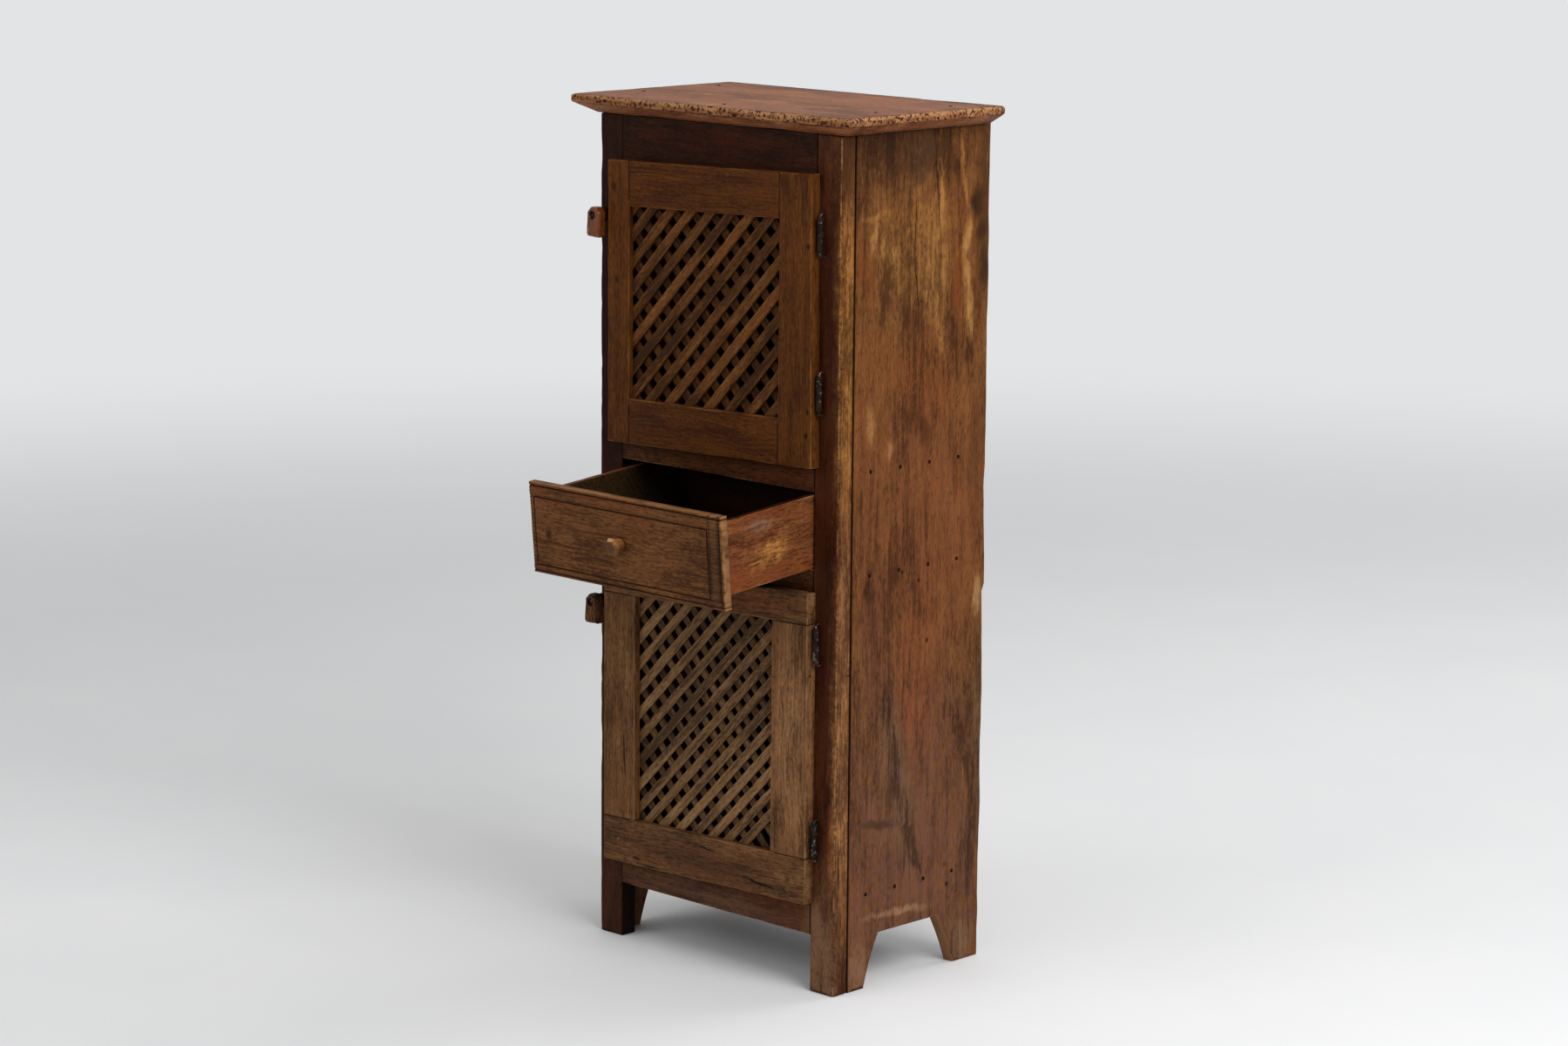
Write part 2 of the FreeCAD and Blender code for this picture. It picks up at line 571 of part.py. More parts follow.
class Door:
    """A lattice door that has racked out of square: its free side hangs lower than its hinge side."""

    def __init__(
        self, name, strip, axis_inset, edge_gap, flare, low, high, rise,
        stiles, rails, full_stiles, recess, layers,
    ):
        self.name = name
        self.left = LEFT + strip
        self.axis_x = RIGHT - axis_inset
        self.right = self.axis_x - BARREL_RADIUS - edge_gap
        self.flare = flare
        self.low = low
        self.high = high
        self.rise = rise
        self.left_stile, self.right_stile = stiles
        self.low_rail, self.high_rail = rails
        self.full_stiles = full_stiles
        self.recess = recess
        self.layers = layers
        self.inner_left = self.left + self.left_stile
        self.inner_right = self.right - self.flare - self.right_stile
        self.inner_low = self.low + self.low_rail
        self.inner_high = self.high - self.high_rail

    def racked(self, x, z):
        """A corner of the door, lifted in proportion to its distance from the free edge."""
        return x, z + self.rise * (x - self.left) / (self.right - self.left)

    def outline(self, x_left, x_right, z_low, z_high, flare=0.0):
        """Four corners of a member: level ends, racked edges, the right end leaning in by flare."""
        return [
            self.racked(x_left, z_low),
            self.racked(x_right, z_low),
            self.racked(x_right - flare, z_high),
            self.racked(x_left, z_high),
        ]

    def member(self, x_left, x_right, z_low, z_high, flare=0.0):
        """A board of the door frame, as thick as the door."""
        return plate_xz(self.outline(x_left, x_right, z_low, z_high, flare), DOOR_FACE, DOOR_BACK)

    def tenon(self, x_range, z_range, gap):
        """A tenon in the middle of the thickness, or with a gap the mortise that takes it."""
        middle = (DOOR_FACE + DOOR_BACK) / 2
        half = DOOR_TENON_THICKNESS / 2 + gap
        grown = self.outline(x_range[0] - gap, x_range[1] + gap, z_range[0] - gap, z_range[1] + gap)
        return plate_xz(grown, middle - half, middle + half)

    def tenon_boxes(self):
        """Where the tenons are: on the rails if the stiles run through, else on the stiles."""
        boxes = {}
        if self.full_stiles:
            for rail_name, z_low, z_high in (
                ("bottom_rail", self.low, self.inner_low),
                ("top_rail", self.inner_high, self.high),
            ):
                z_range = (z_low + DOOR_TENON_SHOULDER, z_high - DOOR_TENON_SHOULDER)
                boxes[rail_name] = [
                    ((self.inner_left - DOOR_TENON_LENGTH, self.inner_left), z_range),
                    ((self.inner_right, self.inner_right + DOOR_TENON_LENGTH), z_range),
                ]
            return boxes
        for stile_name, x_low, x_high in (
            ("left_stile", self.left, self.inner_left),
            ("right_stile", self.inner_right, self.right - self.flare),
        ):
            x_range = (x_low + DOOR_TENON_SHOULDER, x_high - DOOR_TENON_SHOULDER)
            boxes[stile_name] = [
                (x_range, (self.inner_low - DOOR_TENON_LENGTH, self.inner_low)),
                (x_range, (self.inner_high, self.inner_high + DOOR_TENON_LENGTH)),
            ]
        return boxes

    def rabbet(self, fit=0.0):
        """The step round the back of the opening that the slats lie in."""
        grown = self.outline(
            self.inner_left - RABBET_WIDTH + fit,
            self.inner_right + RABBET_WIDTH - fit,
            self.inner_low - RABBET_WIDTH + fit,
            self.inner_high + RABBET_WIDTH - fit,
        )
        return plate_xz(grown, DOOR_FACE + self.recess, DOOR_BACK)

    def frame(self):
        """The four members with their tenons, mortises and rabbet."""
        if self.full_stiles:
            stile_z = (self.low, self.high)
            rail_x = (self.inner_left, self.inner_right)
        else:
            stile_z = (self.inner_low, self.inner_high)
            rail_x = (self.left, self.right - self.flare)
        lean = self.flare if self.full_stiles else 0.0
        members = {
            "left_stile": self.member(self.left, self.inner_left, *stile_z),
            "right_stile": self.member(self.inner_right, self.right - self.flare + lean, *stile_z, lean),
            "bottom_rail": self.member(*rail_x, self.low, self.inner_low),
            "top_rail": self.member(*rail_x, self.inner_high, self.high),
        }
        rabbet = self.rabbet()
        members = {key: board.cut(rabbet) for key, board in members.items()}
        for owner, boxes in self.tenon_boxes().items():
            for box in boxes:
                mortise = self.tenon(*box, JOINT_GAP)
                for key in members:
                    if key != owner:
                        members[key] = members[key].cut(mortise)
                members[owner] = members[owner].fuse(self.tenon(*box, 0.0)).removeSplitter()
        for key, board in members.items():
            pieces[f"{self.name}_{key}"] = [board]

    def slats(self, layer, y_front, y_back):
        """One layer of the lattice, each slat cut to the rabbet."""
        tilt = math.radians(layer.slope)
        along = (math.cos(tilt), math.sin(tilt))
        square = (-math.sin(tilt), math.cos(tilt))
        corner_x, corner_z = self.racked(self.inner_left, self.inner_low)
        reach = (self.right - self.left) + (self.high - self.low)
        bed = self.rabbet(LATTICE_FIT)
        solids = []
        for offset in layer.offsets(reach):
            corners = []
            for side, end in ((-1, -1), (-1, 1), (1, 1), (1, -1)):
                across = offset + side * layer.width / 2
                x = corner_x + square[0] * across + along[0] * end * reach
                z = corner_z + square[1] * across + along[1] * end * reach
                corners.append((x, z))
            slat = plate_xz(corners, y_front, y_back).common(bed)
            solids += [solid for solid in slat.Solids if solid.Volume > SMALLEST_SLAT]
        return solids

    def lattice(self):
        """Two crossed layers: the front one rises to the right, the back one falls."""
        y_front = DOOR_FACE + self.recess
        y_middle = (y_front + DOOR_BACK) / 2
        front_layer, back_layer = self.layers
        pieces[f"{self.name}_front_slats"] = self.slats(front_layer, y_front, y_middle)
        pieces[f"{self.name}_back_slats"] = self.slats(back_layer, y_middle, DOOR_BACK)

    def pegs(self):
        """A whittled peg through each corner joint."""
        solids = []
        for x in (self.left + self.left_stile / 2, self.right - self.flare - self.right_stile / 2):
            for z in (self.low + self.low_rail / 2, self.high - self.high_rail / 2):
                stations = [(DOOR_FACE - PEG_PROUD, PEG_RADIUS), (DOOR_BACK, PEG_RADIUS)]
                solids.append(tapered_prism(PEG_SIDES, stations, self.racked(x, z)))
        members = [f"{self.name}_{key}" for key in ("left_stile", "right_stile", "bottom_rail", "top_rail")]
        drive(f"{self.name}_pegs", solids, members)

    def hinges(self, above_low, below_high):
        """The rolled leaves on the door's edge and the wire staples in the case."""
        leaves, staples, holes = [], [], []
        for middle in (self.low + above_low, self.high - below_high):
            z_range = (middle - BARREL_LENGTH / 2, middle + BARREL_LENGTH / 2)
            base = Vector(self.axis_x, HINGE_Y, z_range[0])
            barrel = Part.makeCylinder(BARREL_RADIUS, BARREL_LENGTH, base)
            tangent = HINGE_Y + BARREL_RADIUS
            leaf = block((self.right - LEAF_DEPTH, self.axis_x), (tangent - LEAF_THICKNESS, tangent), z_range)
            bore = Part.makeCylinder(PIN_RADIUS + PIN_RUNNING_GAP, BARREL_LENGTH, base)
            leaves.append(barrel.fuse(leaf).cut(bore).removeSplitter())
            staples.append(self.staple(middle, PIN_RADIUS))
            holes.append(self.staple(middle, PIN_RADIUS + JOINT_GAP))
        drive(f"{self.name}_hinge_leaves", leaves, [f"{self.name}_right_stile", f"{self.name}_top_rail"])
        pieces[f"{self.name}_hinge_staples"] = staples
        sockets = Part.makeCompound(holes)
        pieces["front_stile_right"] = [post.cut(sockets) for post in pieces["front_stile_right"]]

    def staple(self, middle, radius):
        """A wire pin bent back at both ends and driven into the stile."""
        x, y, end = self.axis_x, HINGE_Y, FRONT + STAPLE_BITE
        low, high = middle - STAPLE_LENGTH / 2, middle + STAPLE_LENGTH / 2
        path = [
            (end, low),
            (y + STAPLE_BEND, low),
            (y, low + STAPLE_BEND),
            (y, high - STAPLE_BEND),
            (y + STAPLE_BEND, high),
            (end, high),
        ]
        wire = Part.makePolygon([Vector(x, at, z) for at, z in path])
        section = Part.Wire(Part.makeCircle(radius, Vector(x, end, low), Vector(0, 1, 0)))
        mitred = 1
        return wire.makePipeShell([section], True, False, mitred)


UPPER_DOOR = Door(
    name="upper_door",
    strip=UPPER_DOOR_STRIP,
    axis_inset=UPPER_DOOR_AXIS_INSET,
    edge_gap=UPPER_DOOR_EDGE_GAP,
    flare=UPPER_DOOR_FLARE,
    low=UPPER_OPENING_LOW - UPPER_DOOR_BELOW_OPENING,
    high=UPPER_OPENING_HIGH + UPPER_DOOR_ABOVE_OPENING,
    rise=UPPER_DOOR_RISE,
    stiles=(UPPER_DOOR_LEFT_STILE, UPPER_DOOR_RIGHT_STILE),
    rails=(UPPER_DOOR_LOW_RAIL, UPPER_DOOR_HIGH_RAIL),
    full_stiles=True,
    recess=UPPER_DOOR_RECESS,
    layers=(Lattice(*UPPER_FRONT_SLATS), Lattice(*UPPER_BACK_SLATS)),
)
LOWER_DOOR = Door(
    name="lower_door",
    strip=LOWER_DOOR_STRIP,
    axis_inset=LOWER_DOOR_AXIS_INSET,
    edge_gap=LOWER_DOOR_EDGE_GAP,
    flare=LOWER_DOOR_FLARE,
    low=LOWER_OPENING_LOW - LOWER_DOOR_BELOW_OPENING,
    high=LOWER_OPENING_HIGH + LOWER_DOOR_ABOVE_OPENING,
    rise=LOWER_DOOR_RISE,
    stiles=(LOWER_DOOR_LEFT_STILE, LOWER_DOOR_RIGHT_STILE),
    rails=(LOWER_DOOR_LOW_RAIL, LOWER_DOOR_HIGH_RAIL),
    full_stiles=False,
    recess=LOWER_DOOR_RECESS,
    layers=(Lattice(*LOWER_FRONT_SLATS), Lattice(*LOWER_BACK_SLATS)),
)


def build_doors():
    """Both doors with their lattices, pegs and hinges."""
    UPPER_DOOR.frame()
    UPPER_DOOR.lattice()
    UPPER_DOOR.hinges(UPPER_HINGE_UP, UPPER_HINGE_DOWN)
    UPPER_DOOR.pegs()
    LOWER_DOOR.frame()
    LOWER_DOOR.lattice()
    LOWER_DOOR.hinges(LOWER_HINGE_UP, LOWER_HINGE_DOWN)
    LOWER_DOOR.pegs()


# ---- Drawer -----------------------------------------------------------------------------------
def to_pulled_drawer(shape):
    """From the closed, level drawer to its place: moved right, tipped to the slope and pulled."""
    pivot = Vector(0, FRONT, DRAWER_OPENING_LOW)
    placed = shape.copy()
    placed.rotate(pivot, Vector(1, 0, 0), DRAWER_SLOPE)
    slope = math.radians(DRAWER_SLOPE)
    placed.translate(Vector(0, -math.cos(slope), -math.sin(slope)) * DRAWER_PULL)
    placed.translate(Vector(DRAWER_SHIFT, 0, 0))
    return placed


def v_groove(start, end):
    """A V groove along a straight line on the drawer's face."""
    run = end - start
    across = Vector(0, 1, 0).cross(run).normalize() * (GROOVE_WIDTH / 2)
    face = closed_face([start + across, start - across, start + Vector(0, GROOVE_DEPTH, 0)])
    return face.extrude(run)


def drawer_front(y_back, z_low):
    """The lipped front with its moulded band cut in by V grooves."""
    left, right = DRAWER_FRONT_SHIFT - DRAWER_FRONT_HALF, DRAWER_FRONT_SHIFT + DRAWER_FRONT_HALF
    z_high = z_low + DRAWER_FRONT_HEIGHT
    y_face = y_back - DRAWER_FRONT_THICKNESS
    board = block((left, right), (y_face, y_back), (z_low, z_high))
    board = round_edges(board, DRAWER_FRONT_ROUNDING, lambda edge: abs(edge.CenterOfMass.y - y_face) < TOUCH)
    x_left, x_right = left + BAND_LEFT, right - BAND_RIGHT
    low, high = z_low + BAND_BOTTOM, z_high - BAND_TOP
    bead_high, bead_right = z_high - BAND_BEAD, right - BAND_BEAD
    lines = [
        ((x_left, low), (x_right, low)),
        ((x_left, high), (x_right, high)),
        ((x_left, low), (x_left, high)),
        ((x_right, low), (x_right, high)),
        ((left, bead_high), (right, bead_high)),
        ((bead_right, z_low), (bead_right, z_high)),
        ((left, z_low + BAND_BEAD), (right, z_low + BAND_BEAD)),
    ]
    for (x_a, z_a), (x_b, z_b) in lines:
        board = board.cut(v_groove(Vector(x_a, y_face, z_a), Vector(x_b, y_face, z_b)))
    return board


def build_drawer():
    """The drawer: front, sides, back, bottom and knob, all in the closed place, then pulled out."""
    y_back = FRONT - DRAWER_CLOSE_GAP - DRAWER_LIP_BELOW * SLOPE_TANGENT
    z_low = DRAWER_OPENING_LOW - DRAWER_LIP_BELOW
    front = drawer_front(y_back, z_low)

    base = DRAWER_OPENING_LOW + DRAWER_RUN_GAP
    outer = DRAWER_BOX_HALF
    inner = outer - DRAWER_BOARD
    rear = DRAWER_BOX_REAR
    side_y = (y_back - DRAWER_DADO, rear)
    sides = {}
    for name, x_range, drop in (
        ("drawer_side_left", (-outer, -inner), DRAWER_LEFT_SIDE_DROP),
        ("drawer_side_right", (inner, outer), 0.0),
    ):
        high = base + DRAWER_BOX_HEIGHT - drop
        sides[name] = block(x_range, side_y, (base, high))
        dado_x = (x_range[0] - JOINT_GAP, x_range[1] + JOINT_GAP)
        dado_z = (base - JOINT_GAP, high + JOINT_GAP)
        front = front.cut(block(dado_x, (side_y[0] - JOINT_GAP, y_back), dado_z))

    def bottom(gap):
        low = base + DRAWER_BOTTOM_UP
        return block(
            (-inner - DRAWER_GROOVE - gap, inner + DRAWER_GROOVE + gap),
            (y_back - DRAWER_GROOVE - gap, rear),
            (low - gap, low + DRAWER_BOTTOM_BOARD + gap),
        )

    groove = bottom(JOINT_GAP)
    front = front.cut(groove)
    for name, board in sides.items():
        pieces[name] = [board.cut(groove)]
    back_low = base + DRAWER_BOTTOM_UP + DRAWER_BOTTOM_BOARD
    pieces["drawer_back"] = [
        block((-inner, inner), (rear - DRAWER_BOARD, rear), (back_low, back_low + DRAWER_BACK_HEIGHT))
    ]
    pieces["drawer_bottom"] = [bottom(0.0)]

    y_face = y_back - DRAWER_FRONT_THICKNESS
    centre = (0.0, z_low + DRAWER_FRONT_HEIGHT / 2)
    stations = [
        (y_face - KNOB_LENGTH, KNOB_FACE_RADIUS),
        (y_face - KNOB_LENGTH + KNOB_CHAMFER, KNOB_RADIUS),
        (y_face, KNOB_NECK_RADIUS),
    ]
    dowel = cylinder_y(*centre, KNOB_DOWEL_RADIUS, y_face, y_back)
    socket = cylinder_y(*centre, KNOB_DOWEL_RADIUS + JOINT_GAP, y_face, y_back)
    pieces["drawer_front"] = [front.cut(socket)]
    pieces["drawer_knob"] = [tapered_prism(KNOB_SIDES, stations, centre).fuse(dowel).removeSplitter()]

    nails = []
    for side in (-1, 1):
        for share in DRAWER_NAIL_SHARES:
            place = Vector(side * outer, rear - DRAWER_BOARD / 2, back_low + share * DRAWER_BACK_HEIGHT)
            nails.append(nail(place, Vector(-side, 0, 0)))
    drive("drawer_nails", nails, ["drawer_side_left", "drawer_side_right", "drawer_back"])

    for name in list(pieces):
        if name.startswith("drawer_") and name not in ("drawer_runners", "drawer_guides"):
            pieces[name] = [to_pulled_drawer(solid) for solid in pieces[name]]


# ---- Turn buttons -----------------------------------------------------------------------------
def turn_button(x, z):
    """A whittled toggle hanging nose down on its pin, clear of the door that it locks when turned."""
    half = BUTTON_WIDTH / 2
    back = DOOR_FACE - BUTTON_GAP
    face = back - BUTTON_THICKNESS
    nose, tail = z - BUTTON_NOSE, z + BUTTON_TAIL
    corner = BUTTON_TAIL_CORNER
    outline = [
        (x - half, nose),
        (x + half, nose),
        (x + half, tail - corner),
        (x + half - corner, tail),
        (x - half + corner, tail),
        (x - half, tail - corner),
    ]
    body = plate_xz(outline, face, back)
    in_face = [edge for edge in body.Edges if abs(edge.CenterOfMass.y - face) < TOUCH]
    body = body.makeChamfer(BUTTON_CHAMFER, in_face)
    boss_stations = [(back, BUTTON_BOSS_RADIUS), (FRONT - BUTTON_GAP, BUTTON_BOSS_RADIUS)]
    boss = tapered_prism(BUTTON_FACETS, boss_stations, (x, z))
    sink = cylinder_y(x, z, BUTTON_SINK_RADIUS, face, face + BUTTON_SINK_DEPTH)
    bore = cylinder_y(x, z, BUTTON_PIN_RADIUS + PIN_RUNNING_GAP, face, FRONT)
    return body.fuse(boss).removeSplitter().cut(sink).cut(bore)


def button_pin(x, z):
    """The iron pin that a button turns on, driven into the stile."""
    seat = DOOR_FACE - BUTTON_GAP - BUTTON_THICKNESS + BUTTON_SINK_DEPTH - BUTTON_PIN_HEAD_GAP
    shank = cylinder_y(x, z, BUTTON_PIN_RADIUS, seat, FRONT + BUTTON_PIN_BITE)
    stations = [(seat - BUTTON_PIN_HEAD_HEIGHT, BUTTON_PIN_HEAD_RADIUS), (seat, BUTTON_PIN_HEAD_RADIUS)]
    return shank.fuse(tapered_prism(BUTTON_FACETS, stations, (x, z))).removeSplitter()


def build_buttons():
    """One button beside each door, in the middle of the strip of stile that the door leaves bare."""
    places = {
        "upper_turn_button": (UPPER_DOOR, UPPER_BUTTON_DROP),
        "lower_turn_button": (LOWER_DOOR, LOWER_BUTTON_DROP),
    }
    pins = []
    for name, (door, drop) in places.items():
        x, z = (LEFT + door.left) / 2, door.high - drop
        pieces[name] = [turn_button(x, z)]
        pins.append(button_pin(x, z))
    drive("turn_button_pins", pins, ["front_stile_left"])


def write_parts():
    """One STEP file for each node."""
    os.makedirs("parts", exist_ok=True)
    for name, solids in pieces.items():
        whole = [solid for shape in solids for solid in shape.Solids]
        shape = whole[0] if len(whole) == 1 else Part.makeCompound(whole)
        shape.exportStep(f"parts/{name}.step")


build_case()
build_runners()
drive_case_nails()
build_doors()
build_drawer()
build_buttons()
write_parts()
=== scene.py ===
"""Dresses the pie safe: worn boards, whittled slats, rolled iron hinges, and waxed, worm-eaten wood."""

import logging
import math
from collections.abc import Sequence
from dataclasses import dataclass, field, replace
from enum import Enum

import bmesh
import bpy
import numpy as np
from mathutils import Matrix


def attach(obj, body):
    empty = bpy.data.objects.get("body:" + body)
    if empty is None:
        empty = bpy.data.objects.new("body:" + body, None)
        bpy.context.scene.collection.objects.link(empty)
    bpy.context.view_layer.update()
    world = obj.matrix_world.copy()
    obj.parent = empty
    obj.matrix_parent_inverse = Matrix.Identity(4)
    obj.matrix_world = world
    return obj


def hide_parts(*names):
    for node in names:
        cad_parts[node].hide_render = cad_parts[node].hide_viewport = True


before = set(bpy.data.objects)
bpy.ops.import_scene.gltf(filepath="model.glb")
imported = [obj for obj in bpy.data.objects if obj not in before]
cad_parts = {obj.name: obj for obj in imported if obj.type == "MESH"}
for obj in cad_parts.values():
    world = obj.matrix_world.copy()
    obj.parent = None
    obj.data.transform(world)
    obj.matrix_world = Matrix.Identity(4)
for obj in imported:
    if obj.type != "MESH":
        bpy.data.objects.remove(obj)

LOG = logging.getLogger("pie_safe")
MM = 0.001


def show(name: str, content: bpy.types.ID) -> bpy.types.Object:
    """Puts a mesh, lamp or camera in the scene as an object."""
    made = bpy.data.objects.new(name, content)
    bpy.context.scene.collection.objects.link(made)
    return made


# ---- Shader building ---------------------------------------------------------------------------
class Socket:
    """A value in a material that can be reckoned with like a number."""

    def __init__(self, paint: "Paint", output: bpy.types.NodeSocket) -> None:
        """Keeps the output and the material that it belongs to."""
        self.paint = paint
        self.output = output

    def __add__(self, other: "Value") -> "Socket":
        """This plus the other."""
        return self.paint.maths("ADD", self, other)

    def __radd__(self, other: float) -> "Socket":
        """The number plus this."""
        return self.paint.maths("ADD", other, self)

    def __sub__(self, other: "Value") -> "Socket":
        """This less the other."""
        return self.paint.maths("SUBTRACT", self, other)

    def __rsub__(self, other: float) -> "Socket":
        """The number less this."""
        return self.paint.maths("SUBTRACT", other, self)

    def __mul__(self, other: "Value") -> "Socket":
        """This times the other."""
        return self.paint.maths("MULTIPLY", self, other)

    def __rmul__(self, other: float) -> "Socket":
        """The number times this."""
        return self.paint.maths("MULTIPLY", other, self)

    def __truediv__(self, other: "Value") -> "Socket":
        """This over the other."""
        return self.paint.maths("DIVIDE", self, other)

    def __rtruediv__(self, other: float) -> "Socket":
        """The number over this."""
        return self.paint.maths("DIVIDE", other, self)

    def __pow__(self, power: float) -> "Socket":
        """This raised to a power."""
        return self.paint.maths("POWER", self, power)

    def __abs__(self) -> "Socket":
        """This without its sign."""
        return self.paint.maths("ABSOLUTE", self)

    def __mod__(self, step: float) -> "Socket":
        """What is left of this after whole steps."""
        return self.paint.maths("FLOORED_MODULO", self, step)

    def beside(self, output: str) -> "Socket":
        """Another output of the same node."""
        return Socket(self.paint, self.output.node.outputs[output])


Value = Socket | float | tuple


class Paint:
    """The nodes of one material, or of the surroundings, added one by one."""

    def __init__(self, holder: bpy.types.Material | bpy.types.World) -> None:
        """Starts with no nodes."""
        holder.use_nodes = True
        self.holder = holder
        self.tree = holder.node_tree
        self.tree.nodes.clear()

    def node(
        self, kind: str, settings: dict[str, object], inputs: dict[str | int, Value], output: str | int = 0
    ) -> Socket:
        """Adds one node.

        Args:
            kind: Blender's name for the node, less its first words ShaderNode.
            settings: the node's own properties, set first.
            inputs: socket name or number, with a value or the socket that feeds it.
            output: the output that is wanted.

        Returns:
            That output, or an empty socket for a node that ends the tree.
        """
        made = self.tree.nodes.new(f"ShaderNode{kind}")
        for key, value in settings.items():
            setattr(made, key, value)
        for key, value in inputs.items():
            if isinstance(value, Socket):
                self.tree.links.new(value.output, made.inputs[key])
            else:
                made.inputs[key].default_value = value
        return Socket(self, made.outputs[output] if made.outputs else None)

    def finish(self, shader: Socket) -> bpy.types.Material | bpy.types.World:
        """Shows a shader, and returns what the nodes belong to."""
        kind = "World" if isinstance(self.holder, bpy.types.World) else "Material"
        self.node(f"Output{kind}", {}, {"Surface": shader})
        return self.holder

    def surface(self, **inputs: Value) -> Socket:
        """The shader of a solid surface; an underscore in an input's name stands for a blank."""
        named = {key.replace("_", " "): value for key, value in inputs.items()}
        return self.node("BsdfPrincipled", {}, named)

    def maths(self, operation: str, *values: Value) -> Socket:
        """One sum on single values."""
        return self.node("Math", {"operation": operation}, dict(enumerate(values)))

    def vector(self, operation: str, first: Value, second: Value) -> Socket:
        """One sum on vectors."""
        return self.node("VectorMath", {"operation": operation}, {0: first, 1: second})

    def length(self, vector: Value) -> Socket:
        """The length of a vector."""
        return self.node("VectorMath", {"operation": "LENGTH"}, {0: vector}, "Value")

    def part(self, vector: Value, axis: str) -> Socket:
        """One component of a vector, X, Y or Z."""
        return self.node("SeparateXYZ", {}, {0: vector}, axis)

    def mix(self, share: Value, first: Value, second: Value, blend: str = "MIX") -> Socket:
        """Goes from one colour to another by a share from 0 to 1."""
        settings = {"data_type": "RGBA", "blend_type": blend}
        return self.node("Mix", settings, {0: share, 6: first, 7: second}, 2)

    def dim(self, colour: Value, share: Value) -> Socket:
        """A colour times a number."""
        return self.node("VectorMath", {"operation": "SCALE"}, {0: colour, "Scale": share})

    def step(self, value: Value, low: Value, high: Value) -> Socket:
        """A soft step: 0 below low, 1 above high."""
        settings = {"interpolation_type": "SMOOTHSTEP"}
        return self.node("MapRange", settings, {0: value, 1: low, 2: high})

    def attribute(self, name: str, output: str = "Fac") -> Socket:
        """What the mesh stores at each point under a name."""
        return self.node("Attribute", {"attribute_name": name}, {}, output)

    def place(self) -> Socket:
        """The point in the safe's own frame."""
        return self.node("TexCoord", {}, {}, "Object")

    def bump(self, height: Socket, strength: float, distance: float) -> Socket:
        """A normal tilted by a height from 0 to 1 times the distance in metres."""
        return self.node("Bump", {}, {"Strength": strength, "Distance": distance, "Height": height})

    def seen(self) -> Socket:
        """1 for what the camera sees straight, in a mirror or through glass."""
        path = self.node("LightPath", {}, {}, "Is Camera Ray")
        mirrored = self.maths("MAXIMUM", path, path.beside("Is Glossy Ray"))
        return self.maths("MAXIMUM", mirrored, path.beside("Is Transmission Ray"))


def hue(code: str) -> tuple[float, float, float, float]:
    """A colour for a shader, from six hexadecimal digits as a screen shows them."""
    shares = (int(code[k : k + 2], 16) / 255 for k in (0, 2, 4))
    light = (s / 12.92 if s <= 0.04045 else ((s + 0.055) / 1.055) ** 2.4 for s in shares)
    return (*light, 1.0)


@dataclass(frozen=True)
class Noise:
    """Cloudy noise about one half: clouds to the metre, octaves, roughness, and its share along Z."""

    scale: float
    detail: float = 2.0
    rough: float = 0.5
    along: float = 1.0
    shift: tuple[float, float, float] | None = None

    def over(self, paint: Paint, where: Socket, output: str | int = 0) -> Socket:
        """Lays the noise over a surface.

        Args:
            paint: the material.
            where: the point, with Z along the grain; a share under 1 draws the clouds out along it.
            output: the noise's value, or its Color for three of them.

        Returns:
            The noise.
        """
        if self.along != 1:
            where = paint.vector("MULTIPLY", where, (1.0, 1.0, self.along))
        if self.shift:
            where = paint.vector("ADD", where, self.shift)
        inputs = {"Vector": where, "Scale": self.scale, "Detail": self.detail, "Roughness": self.rough}
        return paint.node("TexNoise", {}, inputs, output)


STREAK, FIBRE = Noise(110.0, 4.0, 0.62, 0.07), Noise(700.0, 2.0, 0.6, 0.07)
CLOUD, GRIT = Noise(26.0, 4.0, 0.62, 0.35), Noise(300.0, 3.0, 0.65, 0.4)
DRIFT = Noise(8.0, 3.0, 0.6, 0.35, (3.1, 1.7, 0.4))
PORE, RING_WANDER, BARE = Noise(520.0, along=0.14), Noise(12.0, along=0.35), Noise(60.0, 3.0, 0.6, 0.35)
CHIP, FRAY, BREAK = Noise(210.0, 3.0, 0.65), Noise(38.0, 4.0, 0.68), Noise(250.0, 3.0, 0.6, 0.12)
SPLIT, SPLIT_PLACE = Noise(85.0, 2.0, 0.45, 0.035), Noise(16.0, along=0.35)
SAW, SAW_BREAK, FLOCK = Noise(560.0, 2.0, 0.6), Noise(300.0), Noise(12.0, 1.0)
SCRATCH, SCRATCH_PLACE = Noise(150.0, 1.0, along=0.02), Noise(14.0, 1.0)
SCALE, RUST, SPECK = Noise(420.0, 4.0, 0.65), Noise(90.0, 3.0, 0.6), Noise(3.0, 3.0)
RUB = Noise(160.0, 3.0, 0.6, 1.0, (2.0, 5.0, 1.0))

# Where each layer of the wood sets in and where it is full, on the value that drives it.
BODY_SHOWS, PALE_SHOWS, RUDDY_SHOWS, PORE_SHOWS = (-0.05, 0.7), (0.62, 1.15), (0.5, 0.64), (0.54, 0.68)
WEAR_AND_HIGHLIGHT_SHOWS, CHIP_SHOWS, CHIP_EDGE, GRIME_SHOWS = (0.62, 1.0), (0.52, 0.58), (0.1, 0.5), (0.3, 0.9)
TOOTH_SHOWS, COAT_SHOWS, MARK_FADES, BREAK_SHOWS = (0.4, 0.62), (0.35, 0.7), (0.35, 1.3), (0.42, 0.56)
SPLIT_WIDTH, SPLIT_PLACES, FLOCK_PLACES, HOLE_RIM = (0.0, 0.016), (0.54, 0.64), (0.42, 0.62), (0.07, 0.12)
SCRATCH_WIDTH, SCRATCH_PLACES = (0.0, 0.006), (0.5, 0.58)
